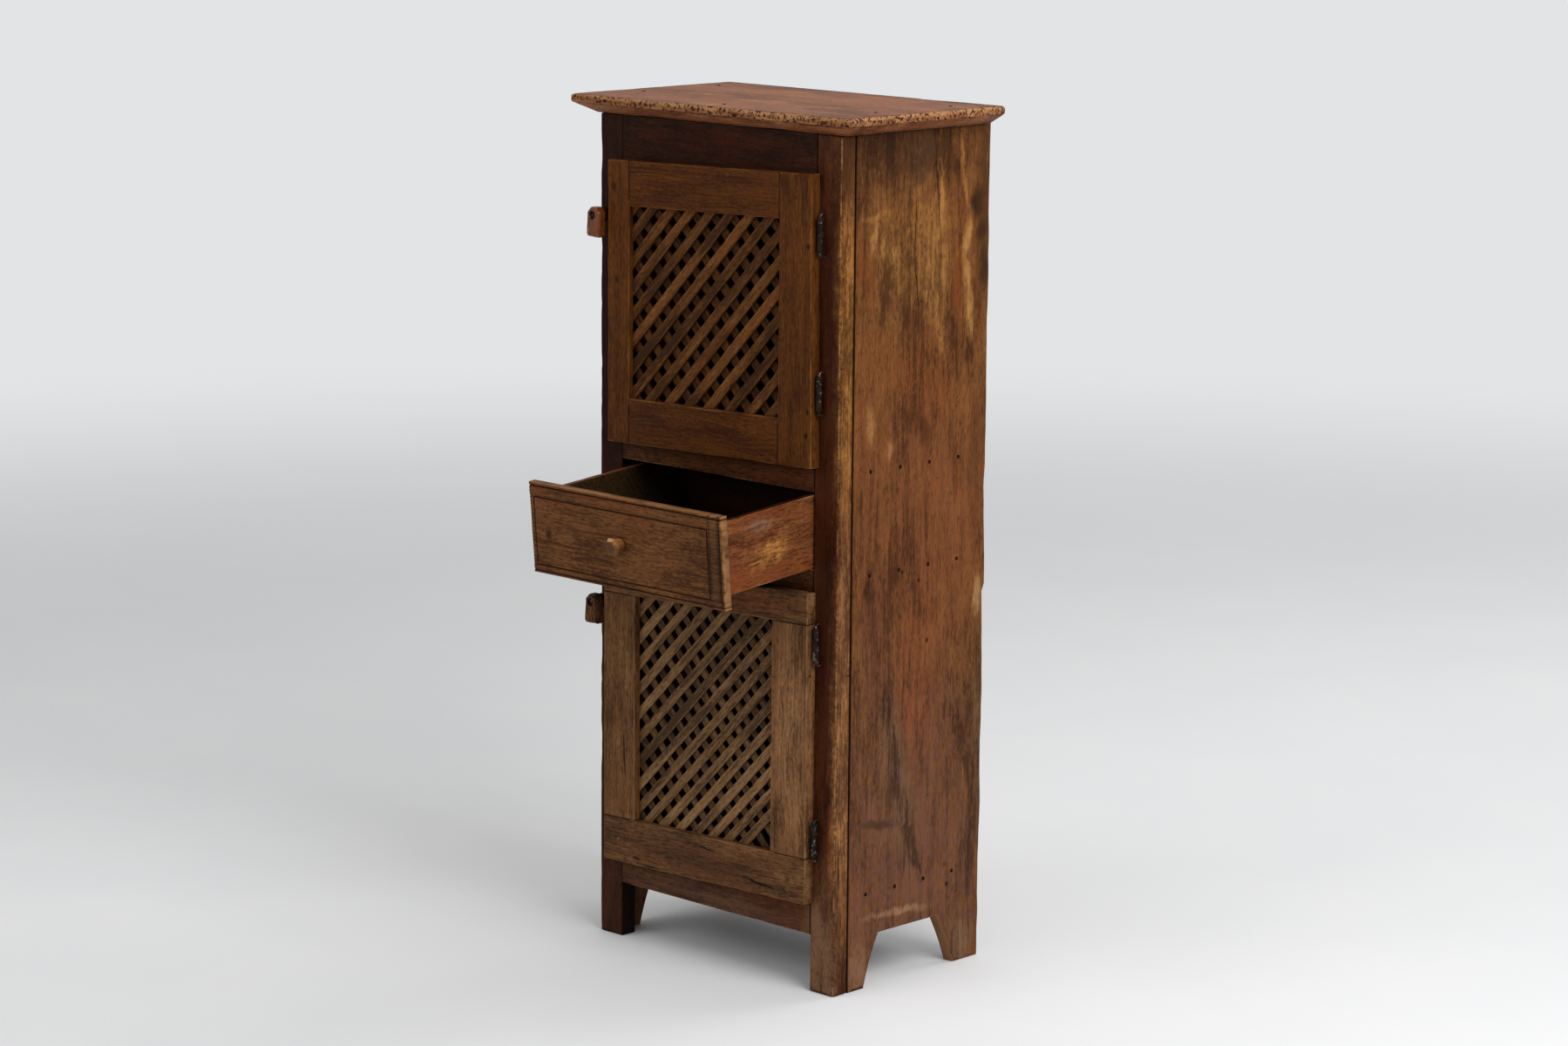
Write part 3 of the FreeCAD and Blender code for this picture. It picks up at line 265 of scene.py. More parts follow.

# TOOTH_DARK and TOOTH_PALE colour the saw marks inside the drawer, kept dark as painted shade there as well.
HOLE_DARK, CHIPPED, GRIME_DARK, TOOTH_DARK, TOOTH_PALE = "0E0703", "2A150B", "180C06", "1A1007", "44311A"
SCRATCHES = (((0.0, 0.0, 0.0), "2A160C"), ((5.0, 2.0, 1.0), "C09A7C"))
HEART = (0.021, 0.047, 0.0)
MARK_DEPTH = 15.0


# ---- Finishes ----------------------------------------------------------------------------------
class Grain(Enum):
    """Where a wood finds its grain: stored by the board, or along an axis of the safe."""

    STORED = (0.0, 0.0, 0.0)
    ALONG_X = (0.0, math.pi / 2, 0.0)
    ALONG_Y = (math.pi / 2, 0.0, 0.0)
    ALONG_Z = (0.0, 0.0, 0.3)

    def read(self, paint: Paint) -> Socket:
        """The point in the board, with Z along its grain."""
        if self is Grain.STORED:
            return paint.attribute("grain", "Vector")
        return paint.node("Mapping", {}, {"Vector": paint.place(), "Rotation": self.value})


class Side(Enum):
    """A face of the safe that marks lie on: the axis square to it, and its place on that axis."""

    CASE = ("X", 239.5)
    DRAWER_BOARD = ("X", 191.0)
    FRAME = ("Y", -154.0)
    DOOR = ("Y", -172.4)
    DRAWER_FACE = ("Y", -344.0)

    def point(self, across: float, height: float) -> tuple[float, float, float]:
        """A point on the face, in metres."""
        axis, level = self.value
        first, second = (level, across) if axis == "X" else (across, level)
        return (first * MM, second * MM, height * MM)


@dataclass(frozen=True)
class Mark:
    """A stain, knot, crack, rubbed place, painted shadow or patch of painted light: an oval between two
    points, with a frayed border.

    Each end is a place across the face and a height, in millimetres, as are the width and the
    fraying.
    """

    side: Side
    low: tuple[float, float]
    high: tuple[float, float]
    width: float
    colour: str
    strength: float = 0.8
    ragged: float = 6.0
    hollow: float = 0.0

    def mask(self, paint: Paint, place: Socket, fray: Socket) -> Socket:
        """How much of the mark is at a point.

        The point's distance from the middle is turned upright, divided by the oval's radii, and
        its length runs through a soft step.

        Args:
            paint: the material.
            place: the point in the safe's frame.
            fray: noise in three directions about zero.

        Returns:
            0 outside, rising to 1 inside.
        """
        run, rise = (end - start for start, end in zip(self.low, self.high))
        lean = math.atan2(run, rise)
        radii = (self.width / 2, math.hypot(run, rise) / 2)
        axis = self.side.value[0]
        spread = (MARK_DEPTH, *radii) if axis == "X" else (radii[0], MARK_DEPTH, radii[1])
        middle = self.side.point((self.low[0] + self.high[0]) / 2, (self.low[1] + self.high[1]) / 2)
        frayed = paint.vector("ADD", place, paint.dim(fray, self.ragged * MM))
        inputs = {"Vector": paint.vector("SUBTRACT", frayed, middle), "Angle": lean if axis == "X" else -lean}
        turned = paint.node("VectorRotate", {"rotation_type": f"{axis}_AXIS"}, inputs)
        reach = paint.length(paint.vector("MULTIPLY", turned, tuple(1 / (r * MM) for r in spread)))
        return 1.0 - paint.step(reach, *MARK_FADES)


@dataclass(frozen=True)
class Wood:
    """Old waxed wood: streaks, mottling, pores, stains, rubbed arrises, dirt, splits and worm holes, with
    painted light and shade.
    """

    slot: str
    deep: str
    body: str
    ruddy: str
    pale: str
    grain: Grain = Grain.STORED
    figure: float = 1.0
    mottle: float = 1.0
    rings: float = 0.2
    ring_pitch: float = 5.0
    pores: float = 0.8
    bleach: float = 0.6
    redness: float = 0.5
    worn: str = "8F6340"
    wear: float = 0.7
    dirt: float = 0.9
    worm: float = 0.3
    splits: float = 0.5
    scratches: float = 0.0
    pits: float = 0.0
    rough: float = 0.55
    shine: float = 0.05
    coat: float = 0.0
    relief: float = 0.6
    tone: float = 1.0
    marks: tuple[Mark, ...] = ()
    fine_mark: float = 8.0
    tint: float = 200.0

    def material(self, name: str) -> bpy.types.Material:
        """Builds the wood.

        Args:
            name: the material's name.

        Returns:
            The material.
        """
        paint = Paint(bpy.data.materials.new(name))
        grain, place = self.grain.read(paint), paint.place()
        noises = (STREAK, FIBRE, CLOUD, GRIT, DRIFT)
        streak, fibre, cloud, grit, drift = (noise.over(paint, grain) for noise in noises)
        ring = self.ring(paint, grain)

        share = 0.5 + (streak - 0.5) * (2.0 * self.figure) + (cloud - 0.5) * (2.0 * self.mottle)
        share = share + (drift - 0.5) * (1.8 * self.mottle) + (fibre - 0.5) * 0.9 + (grit - 0.5) * 1.5
        share = share - (ring - 0.3) * self.rings
        colour = paint.mix(paint.step(share, *BODY_SHOWS), hue(self.deep), hue(self.body))
        colour = paint.mix(paint.step(share, *PALE_SHOWS) * self.bleach, colour, hue(self.pale))
        ruddy = paint.step(drift + (streak - 0.5) * 0.4, *RUDDY_SHOWS) * self.redness
        colour = paint.mix(ruddy, colour, hue(self.ruddy))
        pore = paint.step(PORE.over(paint, grain), *PORE_SHOWS) * self.pores
        colour = paint.mix(pore, colour, hue(self.deep))
        height = fibre * 0.3 + streak * 0.4 + cloud * 0.5 - pore * 0.5 - ring * (0.3 * self.rings)

        colour, height = self.marked(paint, place, share, colour, height)
        wear: Value = 0.0
        if self.grain is Grain.STORED:
            colour, height, wear = self.used(paint, grain, place, cloud, colour, height)
        else:
            # a kept node's own tone; inner_wood's low tone is painted shade inside the case and the drawer
            colour = paint.dim(colour, self.tone)

        split, hole = self.split(paint, grain), self.hole(paint, grain)
        colour = paint.mix(paint.maths("MAXIMUM", split, hole * 0.9), colour, hue(HOLE_DARK))
        if self.scratches:
            colour = self.scratched(paint, grain, colour)
        height = height - split * 0.5 - hole * 0.9
        rough = self.rough + (streak - 0.5) * 0.25 + (cloud - 0.5) * 0.25
        return paint.finish(
            paint.surface(
                Base_Color=colour,
                Roughness=rough + wear * 0.08 + hole * 0.3,
                Specular_IOR_Level=self.shine,
                Coat_Weight=paint.step(cloud, *COAT_SHOWS) * self.coat,
                Coat_Roughness=0.35,
                Normal=paint.bump(height, self.relief, 1.0 * MM),
            )
        )

    def used(
        self, paint: Paint, grain: Socket, place: Socket, cloud: Socket, colour: Socket, height: Socket
    ) -> tuple[Socket, Socket, Socket]:
        """Rubs and chips the arrises, paints highlights, dirties the corners, and lays saw marks and the
        board's tone, painted shade included.

        Args:
            paint: the material.
            grain: the point in the board.
            place: the point in the safe's frame.
            cloud: the wood's mottling.
            colour: its colour.
            height: its relief.

        Returns:
            The colour, the relief, and the share of rubbed wear and painted highlight.
        """
        bare = BARE.over(paint, grain)
        # the wear attribute: rubbed arrises, and also painted highlights, on arrises and on the knob's top
        # flats
        rubbed = paint.attribute("wear")
        wear = paint.step(rubbed + (bare - 0.5) * 1.1, *WEAR_AND_HIGHLIGHT_SHOWS) * self.wear
        colour = paint.mix(wear, colour, hue(self.worn))
        if self.pits:
            chip = paint.step(CHIP.over(paint, place), *CHIP_SHOWS) * self.pits
            chip = chip * paint.step(rubbed, *CHIP_EDGE)
            colour = paint.mix(chip, colour, hue(CHIPPED))
            height = height - chip * 0.8
        grime = paint.step(paint.attribute("grime") + (cloud - 0.5) * 0.8, *GRIME_SHOWS) * self.dirt
        colour = paint.mix(grime, colour, hue(GRIME_DARK))
        lean = paint.part(grain, "Z") + paint.part(grain, "X") * 0.6
        line = SAW.over(paint, lean) * 0.7 + SAW_BREAK.over(paint, grain) * 0.3
        tooth = paint.mix(paint.step(line, *TOOTH_SHOWS), hue(TOOTH_DARK), hue(TOOTH_PALE))
        # saw marks, in dark colours that also paint the shade inside the drawer
        colour = paint.mix(paint.attribute("sawn"), colour, tooth)
        # the tone attribute: each board's own lightness, and painted shade on inside faces, the frieze, the
        # left stile and the moulding
        return paint.dim(colour, paint.attribute("tone")), height, wear

    def ring(self, paint: Paint, grain: Socket) -> Socket:
        """Growth rings: saw teeth of the wandering distance from the heart of the tree.

        Args:
            paint: the material.
            grain: the point in the board.

        Returns:
            0 in early wood, up to 1 at the late wood's edge.
        """
        wander = RING_WANDER.over(paint, grain) - 0.5
        flat = paint.vector("MULTIPLY", paint.vector("ADD", grain, HEART), (1.0, 1.0, 0.0))
        turn = (paint.length(flat) + wander * 0.04 + paint.part(grain, "Z") * 0.006) / (self.ring_pitch * MM)
        return (turn % 1.0) ** 2.5

    def marked(
        self, paint: Paint, place: Socket, share: Socket, colour: Socket, height: Socket
    ) -> tuple[Socket, Socket]:
        """Lays the marks over the wood, with its figure still showing in each.

        Args:
            paint: the material.
            place: the point in the safe's frame.
            share: the figure, about one half.
            colour: the wood's colour.
            height: its relief.

        Returns:
            The colour and the relief with the marks.
        """
        if not self.marks:
            return colour, height
        fray = paint.dim(paint.vector("SUBTRACT", FRAY.over(paint, place, "Color"), (0.5, 0.5, 0.5)), 4.0)
        light = paint.step(share, -0.15, 1.05) * 0.8 + 0.52
        streaky = paint.step(share, 0.0, 0.9) * 0.6 + 0.5
        broken = paint.step(BREAK.over(paint, self.grain.read(paint)), *BREAK_SHOWS)
        for mark in self.marks:
            cover = mark.mask(paint, place, fray) * mark.strength
            if self.fine_mark < mark.width < self.tint:
                cover = cover * (broken if mark.hollow > 0.5 else streaky)
            colour = paint.mix(cover, colour, paint.dim(hue(mark.colour)[:3], light))
            if mark.hollow:
                height = height - cover * mark.hollow
        return colour, height

    def split(self, paint: Paint, grain: Socket) -> Socket:
        """Drying splits: thin lines where stretched noise crosses its middle, in some places only."""
        where = paint.step(SPLIT_PLACE.over(paint, grain), *SPLIT_PLACES)
        open_split = 1.0 - paint.step(abs(SPLIT.over(paint, grain) - 0.5), *SPLIT_WIDTH)
        return open_split * where * self.splits

    def hole(self, paint: Paint, grain: Socket) -> Socket:
        """Worm holes: small dots in some cells of a scatter, thicker in flocks.

        Args:
            paint: the material.
            grain: the point in the board.

        Returns:
            1 in a hole.
        """
        squat = paint.vector("MULTIPLY", grain, (1.0, 0.25, 0.8))
        inputs = {"Vector": squat, "Scale": 100.0, "Randomness": 1.0}
        near = paint.node("TexVoronoi", {"feature": "F1"}, inputs, "Distance")
        flock = paint.step(FLOCK.over(paint, grain), *FLOCK_PLACES)
        limit = 1.08 - 0.4 * self.worm
        lucky = paint.step(paint.part(near.beside("Color"), "X") + flock * 0.15, limit, limit + 0.01)
        return (1.0 - paint.step(near, *HOLE_RIM)) * lucky

    def scratched(self, paint: Paint, grain: Socket, colour: Socket) -> Socket:
        """Draws long fine scratches, dark ones and pale ones, along the grain."""
        for shift, shade in SCRATCHES:
            moved = paint.vector("ADD", grain, shift)
            line = 1.0 - paint.step(abs(SCRATCH.over(paint, moved) - 0.5), *SCRATCH_WIDTH)
            some = paint.step(SCRATCH_PLACE.over(paint, moved), *SCRATCH_PLACES)
            colour = paint.mix(line * some * self.scratches, colour, hue(shade))
        return colour


@dataclass(frozen=True)
class Iron:
    """Forged iron: black scale, brown rust in places, pale patches that are partly rubbed metal, partly
    painted glints.
    """

    slot: str = "wrought_iron"
    scale_colour: str = "120E0B"
    rust: str = "2E1B10"
    bright: str = "B4A898"
    rub_and_glint: float = 0.3
    metal: float = 0.1

    def material(self, name: str) -> bpy.types.Material:
        """Builds the iron.

        Args:
            name: the material's name.

        Returns:
            The material.
        """
        paint = Paint(bpy.data.materials.new(name))
        place = paint.place()
        scale = SCALE.over(paint, place)
        rusty = paint.step(RUST.over(paint, place), 0.45, 0.65)
        # pale patches: partly rubbed metal, partly painted glints
        rubbed = paint.step(RUB.over(paint, place), 0.56, 0.68) * self.rub_and_glint
        colour = paint.mix(rusty * 0.85, hue(self.scale_colour), hue(self.rust))
        return paint.finish(
            paint.surface(
                Base_Color=paint.mix(rubbed, colour, hue(self.bright)),
                Metallic=self.metal + rubbed * 0.6,
                Roughness=0.52 + (scale - 0.5) * 0.4 - rubbed * 0.25,
                Specular_IOR_Level=self.metal,
                Normal=paint.bump(scale, 0.6, 0.6 * MM),
            )
        )


Finish = Wood | Iron

CRACK, ROT, SOFT_ROT, FOOT_DIRT = "150A04", "28150A", "2E1C11", "1C120B"
BLOND, PALE_BAND, KNOT, DARK_KNOT = "87592B", "8F6538", "462818", "200E06"


def marks(side: Side, rows: Sequence[tuple]) -> tuple[Mark, ...]:
    """Marks on one face, each from the values that follow the face in a mark."""
    return tuple(Mark(side, *row) for row in rows)


SIDE_MARKS = marks(Side.CASE, (
    # painted shadow: a dark band across the top of the side, under the top board's overhang
    ((-30, 1130), (-30, 1290), 330, "38200F", 0.75, 20),
    # partly dust, partly painted light bounced from the floor: the lower side paler and greyer
    ((0, -240), (0, 520), 470, "5E3E32", 0.7, 30),
    ((-70, 380), (-80, 620), 60, "5A3426", 0.6, 16),
    ((12, 300), (5, 620), 110, "743E22", 0.5, 20),
    ((20, 790), (20, 960), 170, "6C371B", 0.5, 20),
    ((10, 470), (10, 860), 400, "6A3A24", 0.45, 30),
    ((5, 950), (0, 1150), 190, "865A2C", 0.6, 24),
    ((-12, 1150), (33, 1215), 60, "3A281B", 0.55, 14),
    ((-113, 1085), (-92, 975), 40, "683415", 0.6, 8),
    ((52, 1069), (53, 1170), 10, "8A6032", 0.8, 4),
    ((97, 1150), (92, 1215), 9, BLOND, 0.7, 4),
    ((108, 1105), (97, 1160), 10, BLOND, 0.7, 4),
    ((-113, 1102), (-48, 1112), 12, BLOND, 0.7, 5),
    ((-91, 1055), (-81, 1102), 14, "8A6032", 0.8, 5),
    ((-36, 1031), (-72, 1080), 25, "8A6032", 0.85, 7),
    ((-22, 975), (-38, 1038), 21, "8E602F", 0.8, 7),
    ((50, 930), (28, 1090), 44, "875D30", 0.8, 10),
    ((62, 895), (48, 955), 17, "8E602F", 0.75, 6),
    ((98, 1032), (114, 1092), 18, PALE_BAND, 0.9, 5),
    ((116, 980), (98, 1042), 18, PALE_BAND, 0.85, 5),
    ((119, 912), (113, 995), 20, PALE_BAND, 0.9, 5),
    ((88, 937), (92, 1070), 27, "642F14", 0.65, 7),
    ((127, 1090), (128, 1134), 29, "22110A", 0.95, 5, 0.3),
    ((137, 1055), (137, 1086), 24, "22110A", 0.9, 5, 0.3),
    ((146, 985), (143, 1050), 22, "24140A", 0.8, 6),
    ((112, 880), (113, 915), 22, "3A2010", 0.7, 6),
    ((80, 1155), (81, 1182), 17, "32190C", 0.7, 5),
    ((-3, 1040), (0, 1145), 3.5, CRACK, 0.85, 3, 0.5),
    ((12, 935), (-3, 1052), 3.5, CRACK, 0.85, 3, 0.5),
    ((50, 1065), (38, 1205), 3.5, CRACK, 0.85, 3, 0.5),
    ((-25, 944), (-8, 976), 32, "452410", 0.6, 8),
    ((-83, 778), (-93, 845), 20, "8A5E36", 0.65, 6),
    ((-48, 758), (-52, 790), 16, "8A5E36", 0.6, 5),
    ((32, 762), (7, 840), 27, "3E200E", 0.65, 9),
    ((130, 640), (135, 860), 34, "4A2C18", 0.5, 10),
    ((142, 960), (142, 1260), 44, "3A2210", 0.7, 12),
    ((-94, 563), (-94, 598), 13, ROT, 0.9, 4, 0.4),
    ((15, 577), (15, 585), 6, CRACK, 0.9, 1, 0.5),
    ((34, 487), (34, 495), 6, CRACK, 0.9, 1, 0.5),
    ((-20, 594), (-20, 600), 5, CRACK, 0.9, 1, 0.5),
    ((85, 117), (85, 125), 7, CRACK, 0.9, 1, 0.5),
    ((12, 150), (-52, 440), 56, "5E4430", 0.75, 10),
    ((-41, 345), (-58, 446), 24, SOFT_ROT, 0.7, 9, 0.8),
    ((-21, 276), (-48, 388), 28, SOFT_ROT, 0.7, 9, 0.8),
    ((4, 206), (-31, 312), 28, SOFT_ROT, 0.7, 9, 0.8),
    ((20, 155), (-10, 248), 26, SOFT_ROT, 0.7, 9, 0.8),
    ((50, 142), (5, 186), 22, SOFT_ROT, 0.7, 8, 0.8),
    ((102, 340), (82, 450), 20, SOFT_ROT, 0.7, 9, 0.6),
    ((124, 286), (95, 386), 24, SOFT_ROT, 0.7, 9, 0.6),
    ((144, 228), (112, 330), 26, SOFT_ROT, 0.7, 9, 0.6),
    ((129, 86), (142, 262), 32, SOFT_ROT, 0.7, 9, 0.6),
    ((148, 190), (140, 490), 26, "58432B", 0.65, 8),
    ((-106, 244), (-19, 231), 15, "32241C", 0.65, 5),
    ((-97, 104), (51, 96), 13, "8E6C50", 0.55, 6),
    ((-103, -5), (-103, 70), 44, "7A5A44", 0.5, 10),
    ((114, -5), (113, 62), 50, "6E5440", 0.5, 10),
    ((141, 508), (141, 574), 18, "8E6C42", 0.7, 5),
    ((-103, 0), (-103, 4), 56, FOOT_DIRT, 0.85, 3),
    ((114, 0), (114, 4), 60, FOOT_DIRT, 0.85, 3),
))
FRAME_MARKS = marks(Side.CASE, (
    ((-140, 640), (-140, 1200), 44, "96642F", 0.8, 8),
    ((-140, 60), (-140, 680), 44, "94643C", 0.8, 8),
    # painted shadow: the stile's side darker at the top, under the top board's overhang
    ((-140, 1140), (-140, 1270), 44, "38200F", 0.75, 10),
    ((-140, 0), (-140, 4), 40, FOOT_DIRT, 0.85, 3),
    ((-146, 130), (-146, 242), 3.5, CRACK, 0.85, 2, 0.5),
)) + marks(Side.FRAME, (
    ((214, 60), (214, 1300), 44, "3E1A0B", 0.95, 8),
    # painted shade: the left stile dark from the lower door's top up to the top board
    ((-216, 480), (-216, 1300), 80, "300F04", 0.9, 12),
    ((214, -80), (216, 180), 70, "6A4E38", 0.8, 14),
    ((216, 0), (216, 4), 60, FOOT_DIRT, 0.85, 3),
    ((-216, 0), (-216, 4), 60, FOOT_DIRT, 0.85, 3),
    ((0, 60), (0, 120), 440, "6A4A3A", 0.6, 12),
    # painted shadow: the frieze dark under the top board's overhang
    ((-190, 1187), (190, 1187), 90, "5A2410", 0.6, 8),
))
UPPER_DOOR_MARKS = marks(Side.DOOR, (
    ((195, 1064), (195, 1074), 8, CRACK, 0.85, 2, 0.5),
    ((196, 833), (196, 843), 7, CRACK, 0.85, 2, 0.5),
    ((193, 800), (193, 810), 7, CRACK, 0.85, 2, 0.5),
    ((-186, 982), (-186, 994), 9, DARK_KNOT, 0.8, 3, 0.3),
    ((-192, 1112), (-192, 1128), 10, DARK_KNOT, 0.8, 3, 0.3),
))
LOWER_DOOR_MARKS = marks(Side.DOOR, (
    ((-160, 150), (140, 158), 74, "43261A", 0.6, 16),
    ((-205, 548), (195, 560), 46, "743A20", 0.6, 8),
    ((166, 190), (166, 540), 64, "7E5A3C", 0.6, 12),
    ((-137, 126), (-77, 124.5), 4, CRACK, 0.95, 2.5, 0.9),
    ((-18, 177), (22, 176), 3.5, CRACK, 0.95, 2.5, 0.9),
    ((72, 150), (144, 142), 5, CRACK, 0.95, 3, 0.9),
    ((200, 185), (207, 185), 5, CRACK, 0.9, 1.5, 0.9),
    ((-153, 134), (-134, 132), 4, CRACK, 0.95, 2, 0.9),
    ((-169, 250), (-172, 318), 3.5, CRACK, 0.9, 2, 0.8),
))
DRAWER_FRONT_MARKS = marks(Side.DRAWER_FACE, (
    ((-145, 633), (-145, 651), 14, "23120A", 0.85, 4, 0.3),
    ((-89, 637), (-89, 655), 15, KNOT, 0.6, 5),
    ((-82, 612), (-82, 623), 13, KNOT, 0.6, 5),
    ((190, 580), (190, 716), 27, "4A3526", 0.7, 5),
))
DRAWER_BOX_MARKS = marks(Side.DRAWER_BOARD, (
    ((-276, 636), (-200, 662), 40, "A87038", 0.75, 14),
    ((-284, 687), (-232, 689), 20, "6E584A", 0.55, 8),
    ((-300, 660), (-330, 610), 20, "5E2E18", 0.5, 8),
))

FINISHES: dict[str, Finish] = {
    "top_wood": Wood(
        "top_wood", "57301B", "8A5636", "7E462C", "B07C54", figure=0.8, mottle=1.2, bleach=0.8,
        redness=0.5, worn="AE7E54", wear=0.85, worm=1.1, scratches=0.6, rough=0.5, pores=0.6, pits=1.0,
    ),
    "side_wood": Wood(
        "side_wood", "402410", "6A4221", "68361A", "8A5D30", ring_pitch=7.0, figure=0.9, mottle=1.0,
        bleach=0.5, redness=0.25, worn="8F6848", worm=0.3, splits=0.4, marks=SIDE_MARKS,
    ),
    "front_frame_wood": Wood(
        "front_frame_wood", "34170A", "56321A", "5A2813", "80542F", figure=0.8, bleach=0.5,
        worn="A2754A", wear=0.9, pits=0.5, worm=0.25, marks=FRAME_MARKS,
    ),
    "upper_door_wood": Wood(
        "upper_door_wood", "3A1C0A", "56300F", "58290F", "74491E", rings=0.3, figure=0.8, mottle=0.7,
        bleach=0.5, redness=0.4, worn="8A5C30", wear=0.5, worm=0.15, splits=0.3, marks=UPPER_DOOR_MARKS,
    ),
    "lower_door_wood": Wood(
        "lower_door_wood", "3A2616", "664529", "60381F", "8A643E", rings=0.3, figure=0.9, mottle=0.8,
        bleach=0.6, redness=0.3, worn="8E6A48", wear=0.5, worm=0.7, splits=0.6, marks=LOWER_DOOR_MARKS,
    ),
    "upper_lattice_wood": Wood(
        "upper_lattice_wood", "361F0E", "633C1C", "5E2E12", "8C6032", figure=0.9, bleach=0.6,
        worn="88602F", wear=0.35, worm=0.25, rough=0.65,
    ),
    "lower_lattice_wood": Wood(
        "lower_lattice_wood", "402E1D", "785839", "6A4428", "9A7A56", figure=1.0, bleach=0.7,
        redness=0.25, worn="8C7050", wear=0.35, worm=0.4, rough=0.7,
    ),
    "drawer_front_wood": Wood(
        "drawer_front_wood", "3C2210", "643F22", "5E2E17", "825A36", rings=0.3, figure=0.7, mottle=0.8,
        bleach=0.5, worn="966A44", wear=0.7, worm=0.25, marks=DRAWER_FRONT_MARKS,
    ),
    "drawer_box_wood": Wood(
        "drawer_box_wood", "42200F", "6E4023", "682E15", "90602F", figure=0.7, mottle=0.9, bleach=0.6,
        redness=0.6, worn="A07248", wear=0.6, worm=1.1, marks=DRAWER_BOX_MARKS,
    ),
    # inner_wood: its tone of 0.28 is painted shade inside the case and the drawer
    "inner_wood": Wood(
        "inner_wood", "21160C", "453120", "402412", "6A4E32", grain=Grain.ALONG_X, figure=1.2, wear=0.3,
        worm=0.4, rough=0.75, tone=0.28,
    ),
    "back_wood": Wood(
        "inner_wood", "2A1E14", "56412C", "4A2E1C", "7E664A", figure=1.1, redness=0.3, worn="6E5A44",
        wear=0.4, worm=0.6, splits=0.8, rough=0.75,
    ),
    # honey_knob_wood: its worn colour is also the painted highlight on the knob's top flats
    "honey_knob_wood": Wood(
        "honey_knob_wood", "4E2E14", "7E532C", "744622", "AE8050", rings=0.1, figure=0.5, mottle=0.5,
        bleach=0.7, redness=0.2, worn="BE9060", wear=0.8, worm=0.0, splits=0.1, rough=0.45, shine=0.12,
        pores=0.3,
    ),
    "red_button_wood": Wood(
        "red_button_wood", "38190A", "663412", "6A3010", "8E562C", figure=0.6, mottle=0.5, bleach=0.4,
        worn="B88456", wear=0.8, worm=0.0, splits=0.1, rough=0.3, shine=0.2, coat=0.35, pores=0.2,
    ),
    "dark_button_wood": Wood(
        "dark_button_wood", "2A180E", "694228", "5E341E", "8A6040", figure=0.8, worn="7E5E40", wear=0.7,
        worm=0.1, splits=0.3, rough=0.6,
    ),
    "wrought_iron": Iron(),
    # wire_iron: more and paler patches than the leaves, painted glints as well as rubbed metal
    "wire_iron": Iron("wrought_iron", "1E1712", "3E2617", "C4B8A8", 0.6, 0.3),
    "nail_iron": Iron("wrought_iron", "17110D", "2A190F", "4A4038", 0.1, 0.0),
}


class Palette:
    """Keeps one material for each finish and grain."""

    def __init__(self) -> None:
        """Starts with nothing mixed."""
        self.mixed: dict[tuple[str, Grain | None], bpy.types.Material] = {}

    def material(self, name: str, grain: Grain | None = None) -> bpy.types.Material:
        """The material of a finish.

        Args:
            name: the finish's name.
            grain: where a wood takes its grain from, if not from the finish itself.

        Returns:
            The material, built when it is first asked for.
        """
        finish = FINISHES[name]
        if isinstance(finish, Iron):
            grain = None
        if (name, grain) not in self.mixed:
            turned = replace(finish, grain=grain) if grain else finish
            suffix = f"_{grain.name.lower()}" if grain else ""
            self.mixed[name, grain] = turned.material(f"{name}{suffix}")
        return self.mixed[name, grain]


# ---- Surfaces ----------------------------------------------------------------------------------
PLAIN = {"wear": 0.0, "grime": 0.0, "tone": 1.0, "sawn": 0.0}
WEAR_AND_HIGHLIGHT_REACH = 3.5 * MM
GRIME_REACH = 1.7 * MM
WELD = 0.005 * MM


@dataclass
class Shell:
    """Points and faces of one closed surface, with what the wood needs to know at each point.

    wear is 1 on a rubbed arris and under a painted highlight, grime is 1 in a dirty corner,
    tone is how light the wood is, painted shade included, and sawn is 1 where saw marks show.
    """

    points: np.ndarray
    faces: np.ndarray
    grain: np.ndarray
    wear: np.ndarray
    grime: np.ndarray
    tone: np.ndarray
    sawn: np.ndarray


def beside(*parts: np.ndarray | float) -> np.ndarray:
    """Coordinates, set beside each other on a new last axis."""
    return np.stack(np.broadcast_arrays(*parts), -1)


def unit(vectors: np.ndarray) -> np.ndarray:
    """Each vector divided by its length, or zero where it has none."""
    return vectors / np.maximum(np.linalg.norm(vectors, axis=-1, keepdims=True), 1e-9)


def fading(distance: np.ndarray | float, reach: float) -> np.ndarray:
    """1 at no distance, falling to nothing over a few reaches."""
    return np.exp(-np.maximum(distance, 0) / reach)


def sunk(distance: np.ndarray, radius: float) -> np.ndarray:
    """How far a quarter circle of a radius sinks at a distance from the border."""
    return radius - np.sqrt(np.maximum(radius**2 - np.maximum(radius - distance, 0) ** 2, 0))


def waves(points: np.ndarray, seed: int, length: float, count: int = 9) -> np.ndarray:
    """Smooth noise about zero: a sum of sines of the point along random directions.

    Args:
        points: an array whose last axis is the coordinates, in metres.
        seed: picks the directions and phases.
        length: the usual length of a wave, in metres.
        count: the number of sines.

    Returns:
        Values from about -1 to 1, one for each point.
    """
    chance = np.random.default_rng(seed)
    directions = chance.normal(size=(points.shape[-1], count)) / length * 2.2
    phases = chance.uniform(0, 2 * np.pi, count)
    return np.sin(points @ directions + phases).sum(-1) / math.sqrt(count)


